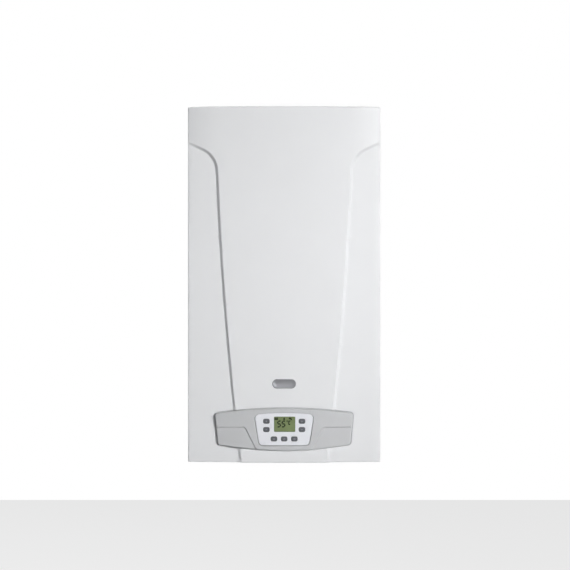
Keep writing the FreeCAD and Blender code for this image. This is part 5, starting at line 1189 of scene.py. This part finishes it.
# Camera
CAMERA_REACH = 3000
CASE_DEPTH = 276
PIXELS = 570
PIXEL_MM = 2.079
CASE_PIXEL = (284.15, 284.45)
SENSOR = 36
camera = bpy.data.objects.new("camera", bpy.data.cameras.new("camera"))
scene.collection.objects.link(camera)
camera.data.sensor_width = SENSOR
camera.data.lens = SENSOR * CAMERA_REACH / PIXEL_MM / PIXELS
camera.location = (
    (PIXELS / 2 - CASE_PIXEL[0]) * PIXEL_MM * MM,
    -(CASE_DEPTH + CAMERA_REACH) * MM,
    ((TOP + BOTTOM) / 2 - (PIXELS / 2 - CASE_PIXEL[1]) * PIXEL_MM) * MM,
)
camera.rotation_euler = (math.pi / 2, 0, 0)
scene.camera = camera


# Light
AIM = (0, -0.2, -0.29)
AMBIENT_COLOUR = (0.98, 0.99, 1, 1)
AMBIENT_STRENGTH = 0.17
WHITE = (1, 1, 1, 1)
WIDE_BEAM = 180


def area_light(name, place, size, power, beam=WIDE_BEAM):
    """A light aimed at AIM: place and size in metres, power in watts, beam in degrees."""
    light = bpy.data.objects.new(name, bpy.data.lights.new(name, "AREA"))
    scene.collection.objects.link(light)
    light.data.shape = "RECTANGLE"
    light.data.size, light.data.size_y = size
    light.data.energy = power
    light.data.spread = math.radians(beam)
    light.location = place
    light.rotation_euler = (Vector(AIM) - Vector(place)).to_track_quat("-Z", "Y").to_euler()


area_light("key", place=(3.37, -5.48, 1.0), size=(2.6, 1.6), power=13.5, beam=26)
area_light("fill", place=(-2.4, -2.6, 0.6), size=(2.2, 2.2), power=2)
area_light("back_left", place=(-2.5, 1.9, 2.9), size=(2.6, 2.6), power=42)
area_light("back_right", place=(2.5, 1.9, 2.9), size=(2.6, 2.6), power=42)


def seen_share(tree, share):
    """The share for a ray from the camera, off a glossy face or through glass, and 0 for any other."""
    paths = tree.nodes.new("ShaderNodeLightPath")
    seen = None
    for ray in ("Is Camera Ray", "Is Glossy Ray", "Is Transmission Ray"):
        either = tree.nodes.new("ShaderNodeMath")
        either.operation = "MAXIMUM"
        either.inputs[1].default_value = 0
        tree.links.new(paths.outputs[ray], either.inputs[0])
        if seen:
            tree.links.new(seen.outputs[0], either.inputs[1])
        seen = either
    part = tree.nodes.new("ShaderNodeMath")
    part.operation = "MULTIPLY"
    part.inputs[1].default_value = share
    tree.links.new(seen.outputs[0], part.inputs[0])
    return part.outputs[0]


def mix_seen(tree, share, plain, pale, output):
    """Mixes a share of the pale shader into the plain one, for the rays that seen_share picks."""
    mix = tree.nodes.new("ShaderNodeMixShader")
    tree.links.new(seen_share(tree, share), mix.inputs["Fac"])
    tree.links.new(plain.outputs[0], mix.inputs[1])
    tree.links.new(pale.outputs[0], mix.inputs[2])
    tree.links.new(mix.outputs[0], tree.nodes[output].inputs["Surface"])


world = bpy.data.worlds.new("studio")
scene.world = world
world.use_nodes = True
world_tree = world.node_tree
ambient = world_tree.nodes["Background"]
ambient.inputs["Color"].default_value = AMBIENT_COLOUR
ambient.inputs["Strength"].default_value = AMBIENT_STRENGTH
white = world_tree.nodes.new("ShaderNodeBackground")
white.inputs["Color"].default_value = WHITE
white.inputs["Strength"].default_value = 1
mix_seen(world_tree, 1, ambient, white, "World Output")

# Floor
FLOOR_DROP = 0.85
FLOOR_HALF = 5
FLOOR_FORWARD = 0.1
FLOOR_COLOUR = (0.86, 0.86, 0.86, 1)
FLOOR_ROUGHNESS = 0.9
FLOOR_GLOSS = 0.1
FLOOR_WHITE_SHARE = 0.72
bpy.ops.mesh.primitive_plane_add(
    size=2 * FLOOR_HALF, location=(0, -FLOOR_FORWARD, BOTTOM * MM - FLOOR_DROP))
floor = bpy.context.object
floor.name = "floor"
floor_paint, floor_tree, floor_shader = new_material("floor_paint")
floor_shader.inputs["Base Color"].default_value = FLOOR_COLOUR
floor_shader.inputs["Roughness"].default_value = FLOOR_ROUGHNESS
floor_shader.inputs["Specular IOR Level"].default_value = FLOOR_GLOSS
pale = floor_tree.nodes.new("ShaderNodeEmission")
mix_seen(floor_tree, FLOOR_WHITE_SHARE, floor_shader, pale, "Material Output")
floor.data.materials.append(floor_paint)
